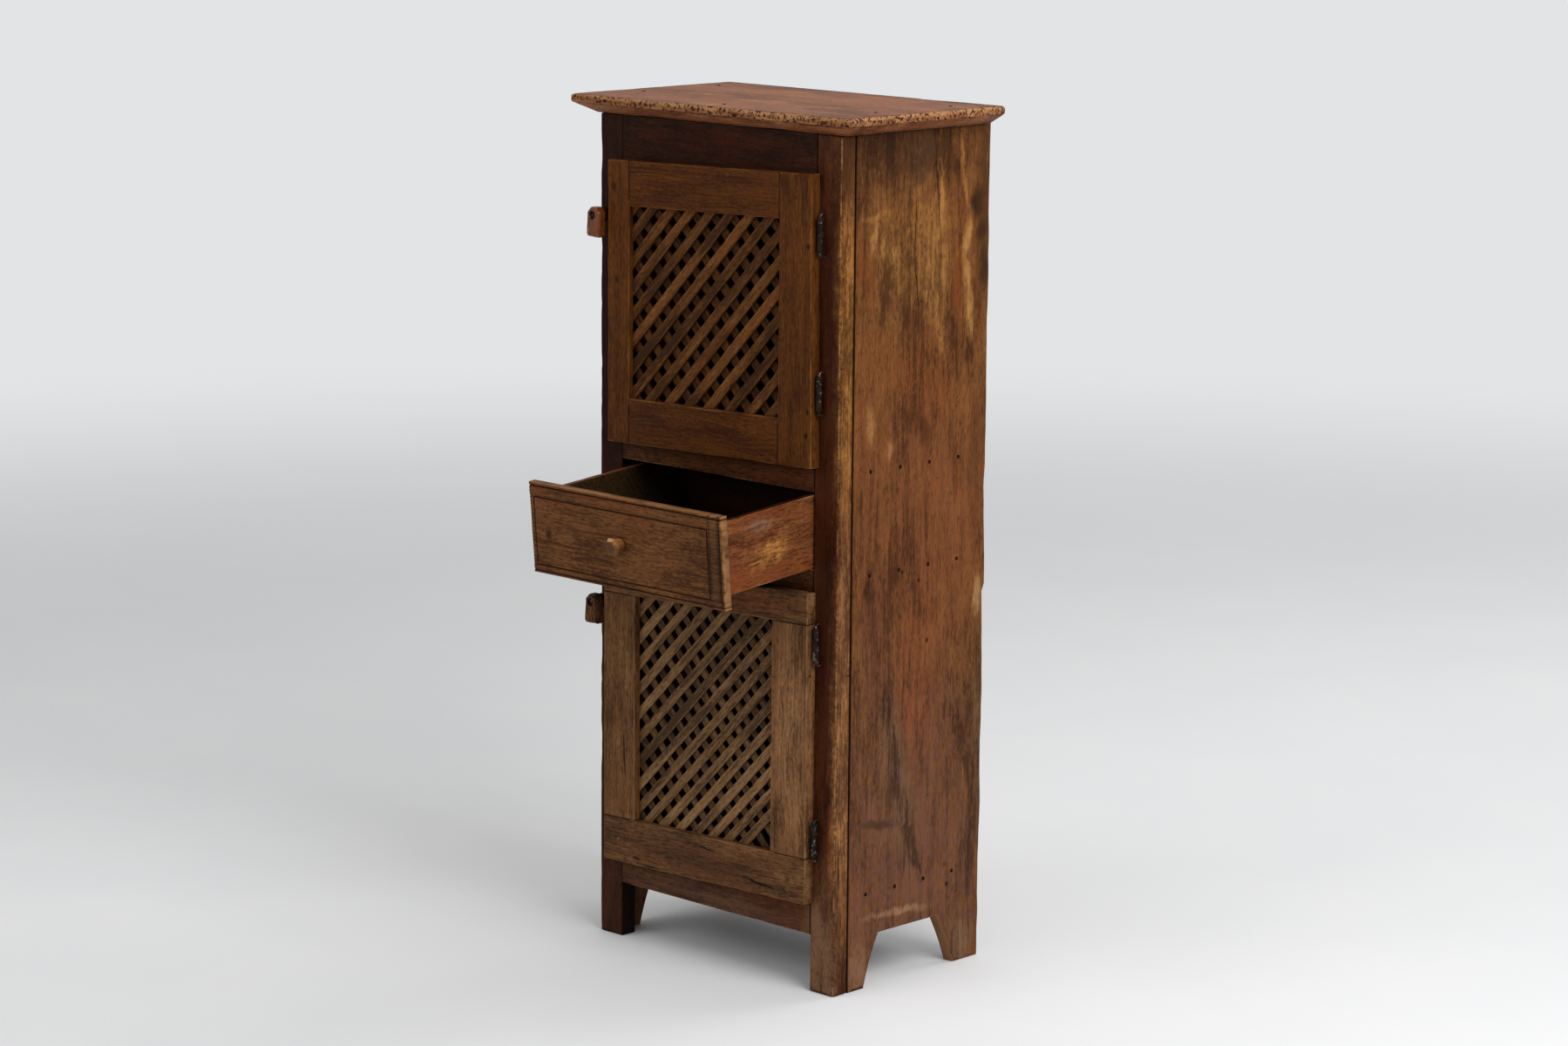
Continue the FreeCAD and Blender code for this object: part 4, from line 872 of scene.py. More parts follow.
def rounded_loops(corners: np.ndarray, radii: np.ndarray, arc: int, side: Sequence[float]) -> np.ndarray:
    """Closed polygons with eased corners, all with the same number of points.

    Each corner is the quadratic curve from a radius before it to a radius after it, drawn towards
    the corner itself; the side after it is sampled at the given shares of its length.

    Args:
        corners: polygons, as an array of loops by corners by two.
        radii: one radius for each corner, or one for each corner of each loop.
        arc: steps in each corner.
        side: shares of each side at which it gets a point.

    Returns:
        An array of loops by points by two.
    """
    radii = np.broadcast_to(radii, corners.shape[:2])[..., None]
    before, after = (corners + unit(np.roll(corners, way, axis=1) - corners) * radii for way in (1, -1))
    points = np.roll(before, -1, axis=1), before, corners, after
    before_next, before, at, after = (each[:, :, None] for each in points)
    t, s = np.linspace(0, 1, arc + 1)[:, None], np.asarray(side)[:, None]
    bend = (1 - t) ** 2 * before + 2 * t * (1 - t) * at + t**2 * after
    return np.concatenate([bend, after * (1 - s) + before_next * s], axis=2).reshape(len(corners), -1, 2)


def skin_faces(rings: int, around: int) -> np.ndarray:
    """Faces that join each ring of points to the next, and zip both end rings shut.

    A wall face is four neighbours on two rings; an end face joins points k and k + 1 to the two
    that lie as far from the ring's other end.

    Args:
        rings: the number of rings.
        around: the number of points in each.

    Returns:
        Rows of four point numbers.
    """
    ring, k = np.meshgrid(np.arange(rings - 1) * around, np.arange(around), indexing="ij")
    after = (k + 1) % around
    walls = beside(ring + k, ring + after, ring + around + after, ring + around + k)
    z = np.arange(around // 2 - 1)
    cap = beside(z, around - 1 - z, around - 2 - z, z + 1)
    return np.concatenate([walls.reshape(-1, 4), cap, cap[:, ::-1] + (rings - 1) * around])


def shell_of_rings(
    rings: np.ndarray, grain: np.ndarray, offset: Sequence[float] = (0.0, 0.0, 0.0),
    **shades: np.ndarray | float,
) -> Shell:
    """A closed surface through rings of points.

    Args:
        rings: rings by points by three, in metres.
        grain: the same shape, each point's place in the wood.
        offset: where in the tree the board was.
        shades: wear, grime, tone and sawn, each at every point or everywhere.

    Returns:
        The shell.
    """
    shape = rings.shape[:2]
    spread = {
        key: np.broadcast_to(shades.get(key, plain), shape).ravel() * 1.0 for key, plain in PLAIN.items()
    }
    tree = grain.reshape(-1, 3) + np.asarray(offset)
    return Shell(rings.reshape(-1, 3), skin_faces(*shape), tree, **spread)


def shell_of_sheets(
    near: np.ndarray, far: np.ndarray, quads: np.ndarray, order: Sequence[int], seed: int,
    **shades: np.ndarray | float,
) -> Shell:
    """A closed plate between two sheets of points on the same grid.

    Each face of the grid that is kept stands once on each sheet, and a wall closes each side of a
    kept face that has no kept neighbour.

    Args:
        near: one sheet, rows by columns by three.
        far: the other.
        quads: which faces of the grid are kept.
        order: which axes lie across the wood, through it and along its grain.
        seed: picks where in the tree the board was.
        shades: wear, grime, tone and sawn, each at every point of a sheet or everywhere.

    Returns:
        The shell.
    """
    rows, columns = shape = near.shape[:2]
    total = rows * columns
    number = np.arange(total).reshape(shape)
    corner = beside(number[:-1, :-1], number[:-1, 1:], number[1:, 1:], number[1:, :-1])
    padded = np.pad(quads, 1)
    sheets = [corner[quads], corner[quads][:, ::-1] + total]
    for side, (di, dj) in enumerate(((-1, 0), (0, 1), (1, 0), (0, -1))):
        bare = quads & ~padded[1 + di : di + rows, 1 + dj : dj + columns]
        a, b = corner[bare][:, side], corner[bare][:, (side + 1) % 4]
        sheets.append(beside(b, a, a + total, b + total))
    used, number = np.unique(np.concatenate(sheets), return_inverse=True)
    points = np.concatenate([near.reshape(-1, 3), far.reshape(-1, 3)])[used]
    spread = {
        key: np.tile(np.broadcast_to(shades.get(key, plain), shape).ravel(), 2)[used] * 1.0
        for key, plain in PLAIN.items()
    }
    offset = np.random.default_rng(seed).uniform(0, 3, 3)
    return Shell(points, number.reshape(-1, 4), points[:, list(order)] + offset, **spread)


class Face(Enum):
    """The six faces of a board: its two edges, its face and back, and its two ends."""

    LOW, HIGH, FRONT, BACK, START, END = range(6)


@dataclass(frozen=True)
class Rabbet:
    """A step along one edge of a board, open towards its back; sizes in metres."""

    edge: Face
    width: float
    start: float
    span: tuple[float, float]
    rim: float = 0.4 * MM
    inner: float = 0.2 * MM
    stop: float = 0.15 * MM


@dataclass
class Board:
    """A sawn board: eight corners, arrises that are rubbed unevenly where they are open.

    The corners are an array of 2 by 2 by 2 points in metres: across the board, through it, and
    along its grain. Shut faces lie against another board, so their borders are dirty, not worn.
    """

    corners: np.ndarray
    seed: int
    ease: float = 1.2 * MM
    rub: float = 0.8 * MM
    spacing: float = 9 * MM
    arc: int = 3
    sides: tuple[float, ...] = (0.03, 0.12, 0.35, 0.65, 0.88, 0.97)
    shut: tuple[Face, ...] = ()
    rabbet: Rabbet | None = None
    tone: float = 1.0
    back_tone: float = 1.0
    long_dent: float = 28 * MM
    short_dent: float = 9 * MM
    dent_reach: float = 2 * MM

    @staticmethod
    def box(x: Sequence[float], y: Sequence[float], z: Sequence[float], along: str) -> np.ndarray:
        """Eight corners of an upright board, from the limits on each axis in millimetres.

        Args:
            x: limits on X.
            y: limits on Y.
            z: limits on Z.
            along: the axis of the grain, x, y or z.

        Returns:
            The corners, in metres.
        """
        order = {"x": "zyx", "y": "zxy", "z": "xyz"}[along]
        grids = np.meshgrid(*({"x": x, "y": y, "z": z}[axis] for axis in order), indexing="ij")
        return beside(*(grids[order.index(axis)] for axis in "xyz")) * MM

    @staticmethod
    def plate(outline: Sequence[Sequence[float]], y: tuple[float, float], along: str) -> np.ndarray:
        """Eight corners of a board drawn from the front, in millimetres.

        Args:
            outline: low left, low right, high right and high left corner, each x and z.
            y: its front and back.
            along: the axis of the grain, x or z.

        Returns:
            The corners, in metres.
        """
        flat = np.array(outline, float)[[[0, 1], [3, 2]] if along == "x" else [[0, 3], [1, 2]]][:, None]
        return beside(flat[..., 0], np.array(y)[:, None], flat[..., 1]) * MM

    def section(
        self, w: np.ndarray, width: float, depth: float, ease: float
    ) -> tuple[np.ndarray, np.ndarray]:
        """The cross section at each place along the board.

        A rabbet at the low edge is one at the high edge seen in a mirror.

        Args:
            w: places along the board.
            width: the board's width.
            depth: its thickness.
            ease: the radius of its arrises.

        Returns:
            The corners, places by corners by two, and the easing of each corner.
        """
        zero = np.zeros_like(w)
        if self.rabbet is None:
            outline = [(zero, zero), (zero + width, zero), (zero + width, zero + depth), (zero, zero + depth)]
            return np.stack([beside(*corner) for corner in outline], 1), np.full(4, ease)
        low, high = self.rabbet.span
        rim, inner, lip = self.rabbet.rim, self.rabbet.inner, zero + self.rabbet.start
        step = np.where((w > low) & (w < high), self.rabbet.width, 0.0)
        if self.rabbet.edge is Face.HIGH:
            wall = width - step
            high_side = [(zero + width, lip), (wall, lip), (wall, zero + depth), (zero, zero + depth)]
            radii = (ease, ease, inner, inner, rim, ease)
        else:
            high_side = [(zero + width, zero + depth), (step, zero + depth), (step, lip), (zero, lip)]
            radii = (ease, ease, ease, rim, inner, inner)
        outline = [(zero, zero), (zero + width, zero), *high_side]
        return np.stack([beside(*corner) for corner in outline], 1), np.array(radii)

    def stations(self, length: float) -> np.ndarray:
        """Places along the board: close together at each end and where a rabbet starts or stops."""
        near = self.ease * np.array([0.0, 0.3, 1.0])
        clear = 2.5 * self.ease
        middle = np.linspace(clear, length - clear, max(3, int(length / self.spacing)))
        stops = []
        if self.rabbet:
            stops = [end + side * self.rabbet.stop for end in self.rabbet.span for side in (-1, 1)]
        inside = [stop for stop in stops if 2 * self.ease < stop < length - 2 * self.ease]
        return np.sort(np.concatenate([near, middle, length - near, inside]))

    def borders(
        self, u: np.ndarray, v: np.ndarray, w: np.ndarray, sizes: Sequence[float]
    ) -> tuple[np.ndarray, np.ndarray]:
        """How far each point is from the nearest open arris, and from the nearest shut face.

        A point's distance to an arris is the second least of its distances to the open faces.

        Args:
            u: places across.
            v: places through.
            w: places along.
            sizes: the board's width, thickness and length.

        Returns:
            Both distances.
        """
        away = np.maximum([u, sizes[0] - u, v, sizes[1] - v, w, sizes[2] - w], 0)
        shut = np.zeros(away.shape, bool)
        shut[[face.value for face in self.shut]] = True
        if self.rabbet is not None:
            low, high = self.rabbet.span
            shut[self.rabbet.edge.value] = (w < low) | (w > high)
        return np.sort(np.where(shut, np.inf, away), axis=0)[1], np.where(shut, away, np.inf).min(0)

    def shell(self) -> Shell:
        """The board's surface.

        Rings of the cross section are carried along the grain. Near each end they shrink on a
        quarter circle; near each open arris the surface sinks by smooth noise that fades with the
        distance from it. The point is then placed between the eight corners in proportion.

        Returns:
            The shell.
        """
        sizes = tuple(float(np.linalg.norm(np.diff(self.corners, axis=k), axis=-1).mean()) for k in range(3))
        width, depth, length = sizes
        w, half = self.stations(length), np.array([width, depth]) / 2
        ease = min(self.ease, depth / 3, width / 3)
        uv = rounded_loops(*self.section(w, width, depth, ease), self.arc, self.sides)
        inset = sunk(np.minimum(w, length - w), ease)
        uv = half + (uv - half) * ((half - inset[:, None]) / half)[:, None]

        grain = beside(uv[..., 0], uv[..., 1], w[:, None])
        arris, joint = self.borders(*np.moveaxis(grain, -1, 0), sizes)
        chance = np.random.default_rng(self.seed)
        offset = chance.uniform(0, 3, 3)
        tree = grain + offset
        uneven = waves(tree, self.seed, self.long_dent) + 0.4 * waves(tree, self.seed + 1, self.short_dent)
        dent = np.clip(uneven + 0.2, 0, 1.4) * fading(arris, self.dent_reach) * self.rub
        uv = uv + unit(half - uv) * dent[..., None]

        places = (uv[..., 0] / width, uv[..., 1] / depth, grain[..., 2] / length)
        rings = np.einsum("ska,skb,skc,abcx->skx", *(beside(1 - s, s) for s in places), self.corners)
        # a board's tone varies at random; a low tone with a high back_tone is painted shade on the face
        # turned inside
        on_back = uv[..., 1] > depth * 0.9
        tone = self.tone * chance.uniform(0.92, 1.08) * np.where(on_back, self.back_tone, 1.0)
        wear, grime = fading(arris, WEAR_AND_HIGHLIGHT_REACH), fading(joint, GRIME_REACH)
        return shell_of_rings(rings, grain, offset, wear=wear, grime=grime, tone=tone)


class Dresser:
    """Makes objects from shells and hangs each on the body that it moves with."""

    def __init__(self, palette: Palette) -> None:
        """Keeps the palette."""
        self.palette = palette

    def piece(
        self, name: str, shells: Sequence[Shell], finish: str, body: str, *replaced: str
    ) -> None:
        """Makes one object of several shells, sets its finish, and puts it in place of CAD nodes.

        Args:
            name: the object's name.
            shells: its closed surfaces.
            finish: the name of its finish.
            body: the body that it moves with.
            replaced: the nodes that it stands for.
        """
        starts = np.cumsum([0] + [len(shell.points) for shell in shells[:-1]])
        points = np.concatenate([shell.points for shell in shells])
        faces = np.concatenate([shell.faces + start for shell, start in zip(shells, starts)])
        mesh = bpy.data.meshes.new(name)
        mesh.from_pydata(points.tolist(), [], faces.tolist())
        grain = np.concatenate([shell.grain for shell in shells])
        mesh.attributes.new("grain", "FLOAT_VECTOR", "POINT").data.foreach_set("vector", grain.ravel())
        for key in PLAIN:
            values = np.concatenate([getattr(shell, key) for shell in shells])
            mesh.attributes.new(key, "FLOAT", "POINT").data.foreach_set("value", values)
        form = bmesh.new()
        form.from_mesh(mesh)
        bmesh.ops.remove_doubles(form, verts=form.verts, dist=WELD)
        bmesh.ops.recalc_face_normals(form, faces=form.faces)
        form.to_mesh(mesh)
        form.free()
        mesh.polygons.foreach_set("use_smooth", [True] * len(mesh.polygons))
        mesh.validate()
        made = show(name, mesh)
        mesh.materials.append(self.palette.material(finish))
        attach(made, body)
        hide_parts(*replaced)
        LOG.info("%s: %d faces, finish %s, on %s", name, len(mesh.polygons), finish, body)

    def repaint(self, node: str, finish: str, grain: Grain) -> None:
        """Gives a CAD node that stays its worn finish, with the grain along an axis of the safe."""
        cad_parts[node].material_slots[0].material = self.palette.material(finish, grain)
        LOG.info("%s: kept, finish %s", node, finish)


# ---- Case --------------------------------------------------------------------------------------
@dataclass
class Case:
    """The front frame, the sides and the back, all in millimetres."""

    half_width: float = 239.5
    front: float = -154.0
    back: float = 154.0
    height: float = 1223.5
    stile_width: float = 46.0
    stile_back: float = -126.0
    stile_ease: float = 2.4
    stile_rub: float = 1.4
    # the left stile's low tone is painted shade
    stile_tones: tuple[float, float] = (0.42, 1.0)
    rail_back: float = -130.0
    side_thickness: float = 19.0
    side_wave: float = 120.0
    seam_width: float = 2.5
    seam_depth: float = 4.0
    # the tongue in the seam is near black: painted shade in the seam
    seam_shade_tone: float = 0.12
    arch_height: float = 77.0
    arch_front: tuple[float, float] = (-90.0, -60.0)
    arch_rear: tuple[float, float] = (101.0, 65.0)
    arch_bow: float = 2.5
    ease: float = 1.6
    rails: dict[str, tuple[float, float, float]] = field(
        default_factory=lambda: {
            "bottom_rail": (83.0, 150.0, 0.75),
            "rail_below_drawer": (553.0, 613.0, 0.8),
            "rail_above_drawer": (723.0, 770.0, 0.8),
            # the frieze's low tone is painted shadow under the top board's overhang
            "frieze_rail": (1150.0, 1223.5, 0.33),
        }
    )
    planks: tuple[tuple[float, float], ...] = ((-220.5, -73.75), (-73.65, 73.65), (73.75, 220.5))
    plank_y: tuple[float, float] = (133.0, 145.0)
    plank_z: tuple[float, float] = (83.0, 1223.5)
    # the back planks are near black inside: painted shade; plank_back_tones bring their outer faces back to
    # about 0.8 to 1.1
    plank_tone: float = 0.3
    plank_back_tones: tuple[float, ...] = (2.7, 3.6, 3.1)
    seeds: tuple[int, ...] = (11, 21, 31, 41, 51, 61)

    def build(self, dresser: Dresser) -> None:
        """Makes every board of the case."""
        opening = self.half_width - self.stile_width
        stile_seed, rail_seed, plank_seed = self.seeds[:3]
        inner_faces = (Face.HIGH, Face.LOW)
        for side, name, inner, tone in zip((-1, 1), ("left", "right"), inner_faces, self.stile_tones):
            x = sorted((side * self.half_width, side * opening))
            post = Board(
                Board.box(x, (self.front, self.stile_back), (0, self.height), "z"), stile_seed + side,
                self.stile_ease * MM, self.stile_rub * MM, shut=(inner, Face.BACK, Face.END), tone=tone,
            )
            node = f"front_stile_{name}"
            dresser.piece(f"stile_{name}", [post.shell()], "front_frame_wood", "cabinet", node)
            dresser.piece(f"side_{name}", self.side(side), "side_wood", "cabinet", f"side_board_{name}")
        for k, (name, (low, high, tone)) in enumerate(self.rails.items()):
            shut = (Face.START, Face.END, Face.BACK) + ((Face.HIGH,) if high == self.height else ())
            corners = Board.box((-opening, opening), (self.front, self.rail_back), (low, high), "x")
            bar = Board(corners, rail_seed + k, 1.0 * MM, shut=shut, tone=tone)
            dresser.piece(f"{name}_board", [bar.shell()], "front_frame_wood", "cabinet", name)
        for k, (x, back_tone) in enumerate(zip(self.planks, self.plank_back_tones)):
            corners = Board.box(x, self.plank_y, self.plank_z, "z")
            tones = {"tone": self.plank_tone, "back_tone": back_tone}
            plank = Board(corners, plank_seed + k, 1.0 * MM, shut=(Face.END,), **tones).shell()
            dresser.piece(f"back_board_{k + 1}", [plank], "back_wood", "cabinet", f"back_plank_{k + 1}")

    def arch_edge(self, z: np.ndarray, ends: tuple[float, float], outward: float) -> np.ndarray:
        """Where the cut-out's bowed corner is at each height.

        A straight line from foot to head, pushed towards the foot by a parabola that is highest
        in the middle; above the head it stays where it ended.

        Args:
            z: heights, in millimetres.
            ends: Y at the floor and at the head.
            outward: how far the bow pushes, with its sign.

        Returns:
            Y at each height.
        """
        share = np.clip(z / self.arch_height, 0, 1)
        return ends[0] + (ends[1] - ends[0]) * share + outward * 4 * share * (1 - share)

    def rear_edge(self, z: np.ndarray) -> np.ndarray:
        """The tree's own edge: level above, a bulge with a sudden step, then a long hollow."""
        heights = (0, 60, 150, 230, 300, 360, 430, 500, 548, 556, 600, 640, 700, 790, 900, 1020, 1120, 1223)
        swell = (0, 0.4, -1, 1.4, -1.2, 1.6, 1, -1, -2.6, 2.2, 2.4, 0.2, -1.6, 0.6, -0.8, 0.6, -0.6, 0)
        return self.back + np.interp(z, heights, swell) + 0.5 * waves(z[:, None] * MM, 5, 22 * MM)

    def side(self, hand: int) -> list[Shell]:
        """One side board, with its two feet, and the near-black tongue that closes the seam behind the stile,
        whose darkness is painted shade.

        Three fields of columns fill the front foot, the cut-out and the rear foot; each row is one
        height. The fields' limits follow the bowed corners, and the middle field has no faces below
        the cut-out's head. Both surfaces sink on a quarter circle at the border.

        Args:
            hand: -1 for the left side, 1 for the right.

        Returns:
            The shells.
        """
        fine, head = np.array([0, 0.4, 1.0, 2.0, 4.0, 8.0]), self.arch_height
        rows = np.concatenate([
            fine, np.linspace(14, head - 6, 7), head - np.array([4.0, 2.0, 0.0]), head + fine[1:],
            np.arange(head + 18, self.height - 12, 11.0), self.height - fine[::-1],
        ])
        middle = np.linspace(0.18, 0.82, 5)
        share = np.array([0, 0.006, 0.016, 0.035, 0.08, *middle, 0.92, 0.965, 0.984, 0.994, 1])
        limits = [
            np.full_like(rows, self.stile_back + self.seam_width),
            self.arch_edge(rows, self.arch_front, -self.arch_bow),
            self.arch_edge(rows, self.arch_rear, self.arch_bow),
            self.rear_edge(rows),
        ]
        front, near, far, rear = (limit[:, None] for limit in limits)
        fields = (low + (high - low) * share for low, high in ((front, near), (near, far), (far, rear)))
        y = np.concatenate([part[:, k > 0 :] for k, part in enumerate(fields)], axis=1)
        z = np.broadcast_to(rows[:, None], y.shape)
        beside_arch = np.where(z < head, np.minimum(abs(y - near), abs(y - far)), z - head)
        beyond_arch = np.maximum(0, np.maximum(self.arch_front[1] - y, y - self.arch_rear[1]))
        to_arch = np.where((y > near) & (y < far), z - head, beside_arch + beyond_arch * (z >= head))
        open_border = np.maximum(np.minimum.reduce([rear - y, z, np.maximum(to_arch, 0)]), 0)
        shut_border = np.maximum(np.minimum(y - front, self.height - z), 0)
        drop = sunk(np.minimum(open_border, shut_border), self.ease)
        *_, wave_seed, wood_seed, tongue_seed = self.seeds
        bulge = waves(beside(y, z) * MM, wave_seed + hand, self.side_wave * MM)
        outer = self.half_width - drop - np.clip((bulge + 1.5) * 0.25, 0, 1)
        inner = self.half_width - self.side_thickness + drop * 0.5
        low = (rows[:-1] + rows[1:])[:, None] / 2 < head
        column, wide = np.arange(y.shape[1] - 1), len(share) - 1
        board = shell_of_sheets(
            *(beside(hand * x, y, z) * MM for x in (outer, inner)),
            ~(low & (column >= wide) & (column < 2 * wide)), (1, 0, 2), wood_seed + hand,
            wear=fading(open_border * MM, WEAR_AND_HIGHLIGHT_REACH), grime=fading(shut_border * MM, GRIME_REACH),
        )
        # the tongue: a near-black board whose darkness is painted shade in the seam behind the stile
        x = sorted(hand * (self.half_width - depth) for depth in (self.seam_depth, self.side_thickness))
        corners = Board.box(x, (self.stile_back, self.stile_back + self.seam_width), (0, self.height), "z")
        return [board, Board(corners, tongue_seed, 0.3 * MM, 0, tone=self.seam_shade_tone).shell()]


@dataclass
class TopBoard:
    """The top: a worn rounded edge over a broad bevel on the front and both ends, in millimetres."""

    half_width: float = 276.5
    front: float = -183.0
    back: float = 145.0
    under: float = 1223.5
    over: float = 1250.0
    edge_height: float = 11.0
    bevel_run: float = 28.0
    corner: float = 7.0
    bite: float = 1.9
    long_bite: float = 42.0
    short_bite: float = 12.0

    def profile(self) -> np.ndarray:
        """Rows of inset from the front and ends, inset from the back, height, wear and grime."""
        over, edge, under = self.over, self.over - self.edge_height, self.under
        return np.array([
            (158, 158, over, 0, 0), (90, 90, over, 0, 0), (45, 45, over, 0, 0), (20, 20, over, 0.1, 0),
            (9, 9, over, 0.4, 0), (5, 5, over, 0.7, 0), (3.2, 2.4, over - 0.3, 0.9, 0),
            (1.4, 1.2, over - 1.3, 1, 0), (0.3, 0.4, over - 3.2, 0.9, 0), (0, 0, over - 6, 0.7, 0),
            (0.4, 0, edge + 0.8, 0.8, 0), (2.2, 0, edge - 0.9, 0.6, 0), (8, 0, edge - 4.2, 0.15, 0.2),
            (16, 0, edge - 8.6, 0.1, 0.4), (24, 0, edge - 13.2, 0.2, 0.6),
            (self.bevel_run, 0.5, under, 0.3, 0.7), (45, 20, under, 0, 0.6), (158, 158, under, 0, 1),
        ])

    def build(self, dresser: Dresser) -> None:
        """Makes the top board.

        Rings of the plan are stacked along the profile: each has its own inset from the front and
        the ends, its own inset from the back, and its own height. The edge is bitten by smooth
        noise that fades with the inset.
        """
        ahead, behind, height, wear, grime = self.profile().T
        left, right = -self.half_width + ahead, self.half_width - ahead
        near, far = self.front + ahead, self.back - behind
        plan = (left, near), (right, near), (right, far), (left, far)
        corners = np.stack([beside(*corner) for corner in plan], 1)
        radii = np.minimum(self.corner, 0.4 * np.minimum(right - left, far - near))[:, None]
        loops = rounded_loops(corners, radii, 5, np.linspace(0.01, 0.99, 90))
        rings = beside(loops[..., 0], loops[..., 1], height[:, None]) * MM
        low_edge = self.over - self.edge_height
        inset = np.where(height < low_edge + 0.5, np.minimum(ahead, abs(self.bevel_run - ahead)), ahead)
        long = np.clip(waves(rings, 71, self.long_bite * MM) - 0.1, 0, 1.5)
        short = np.clip(waves(rings, 72, self.short_bite * MM), 0, 1.2)
        bite = (long + 0.5 * short) * fading(inset, 5.0)[:, None] * self.bite * MM
        x, y = rings[..., 0], rings[..., 1] - (self.front + self.back) / 2 * MM
        inward = beside(
            -np.sign(x) * (abs(x) > (self.half_width - 60) * MM), -np.sign(y) * (abs(y) > 120 * MM),
            np.where(rings[..., 2] > low_edge * MM, -0.5, 0.0),
        )
        rings = rings + unit(inward) * bite[..., None]
        shell = shell_of_rings(rings, rings[..., [1, 2, 0]], wear=wear[:, None], grime=grime[:, None] * 0.8)
        dresser.piece("top", [shell], "top_wood", "cabinet", "top_board")


# ---- Doors -------------------------------------------------------------------------------------
@dataclass
class Layer:
    """One layer of parallel slats: their slope, the first one's offset, the pitch and its growth."""

    slope: float
    start: float
    pitch: float
    growth: float
    width: float

    def offsets(self, limit: float) -> np.ndarray:
        """Distances of the slats from the opening's lower left corner, square to them."""
        k = np.arange(40)
        places = self.start + self.pitch * k + self.growth * k * k
        return places[np.cumprod(places < limit).astype(bool)]


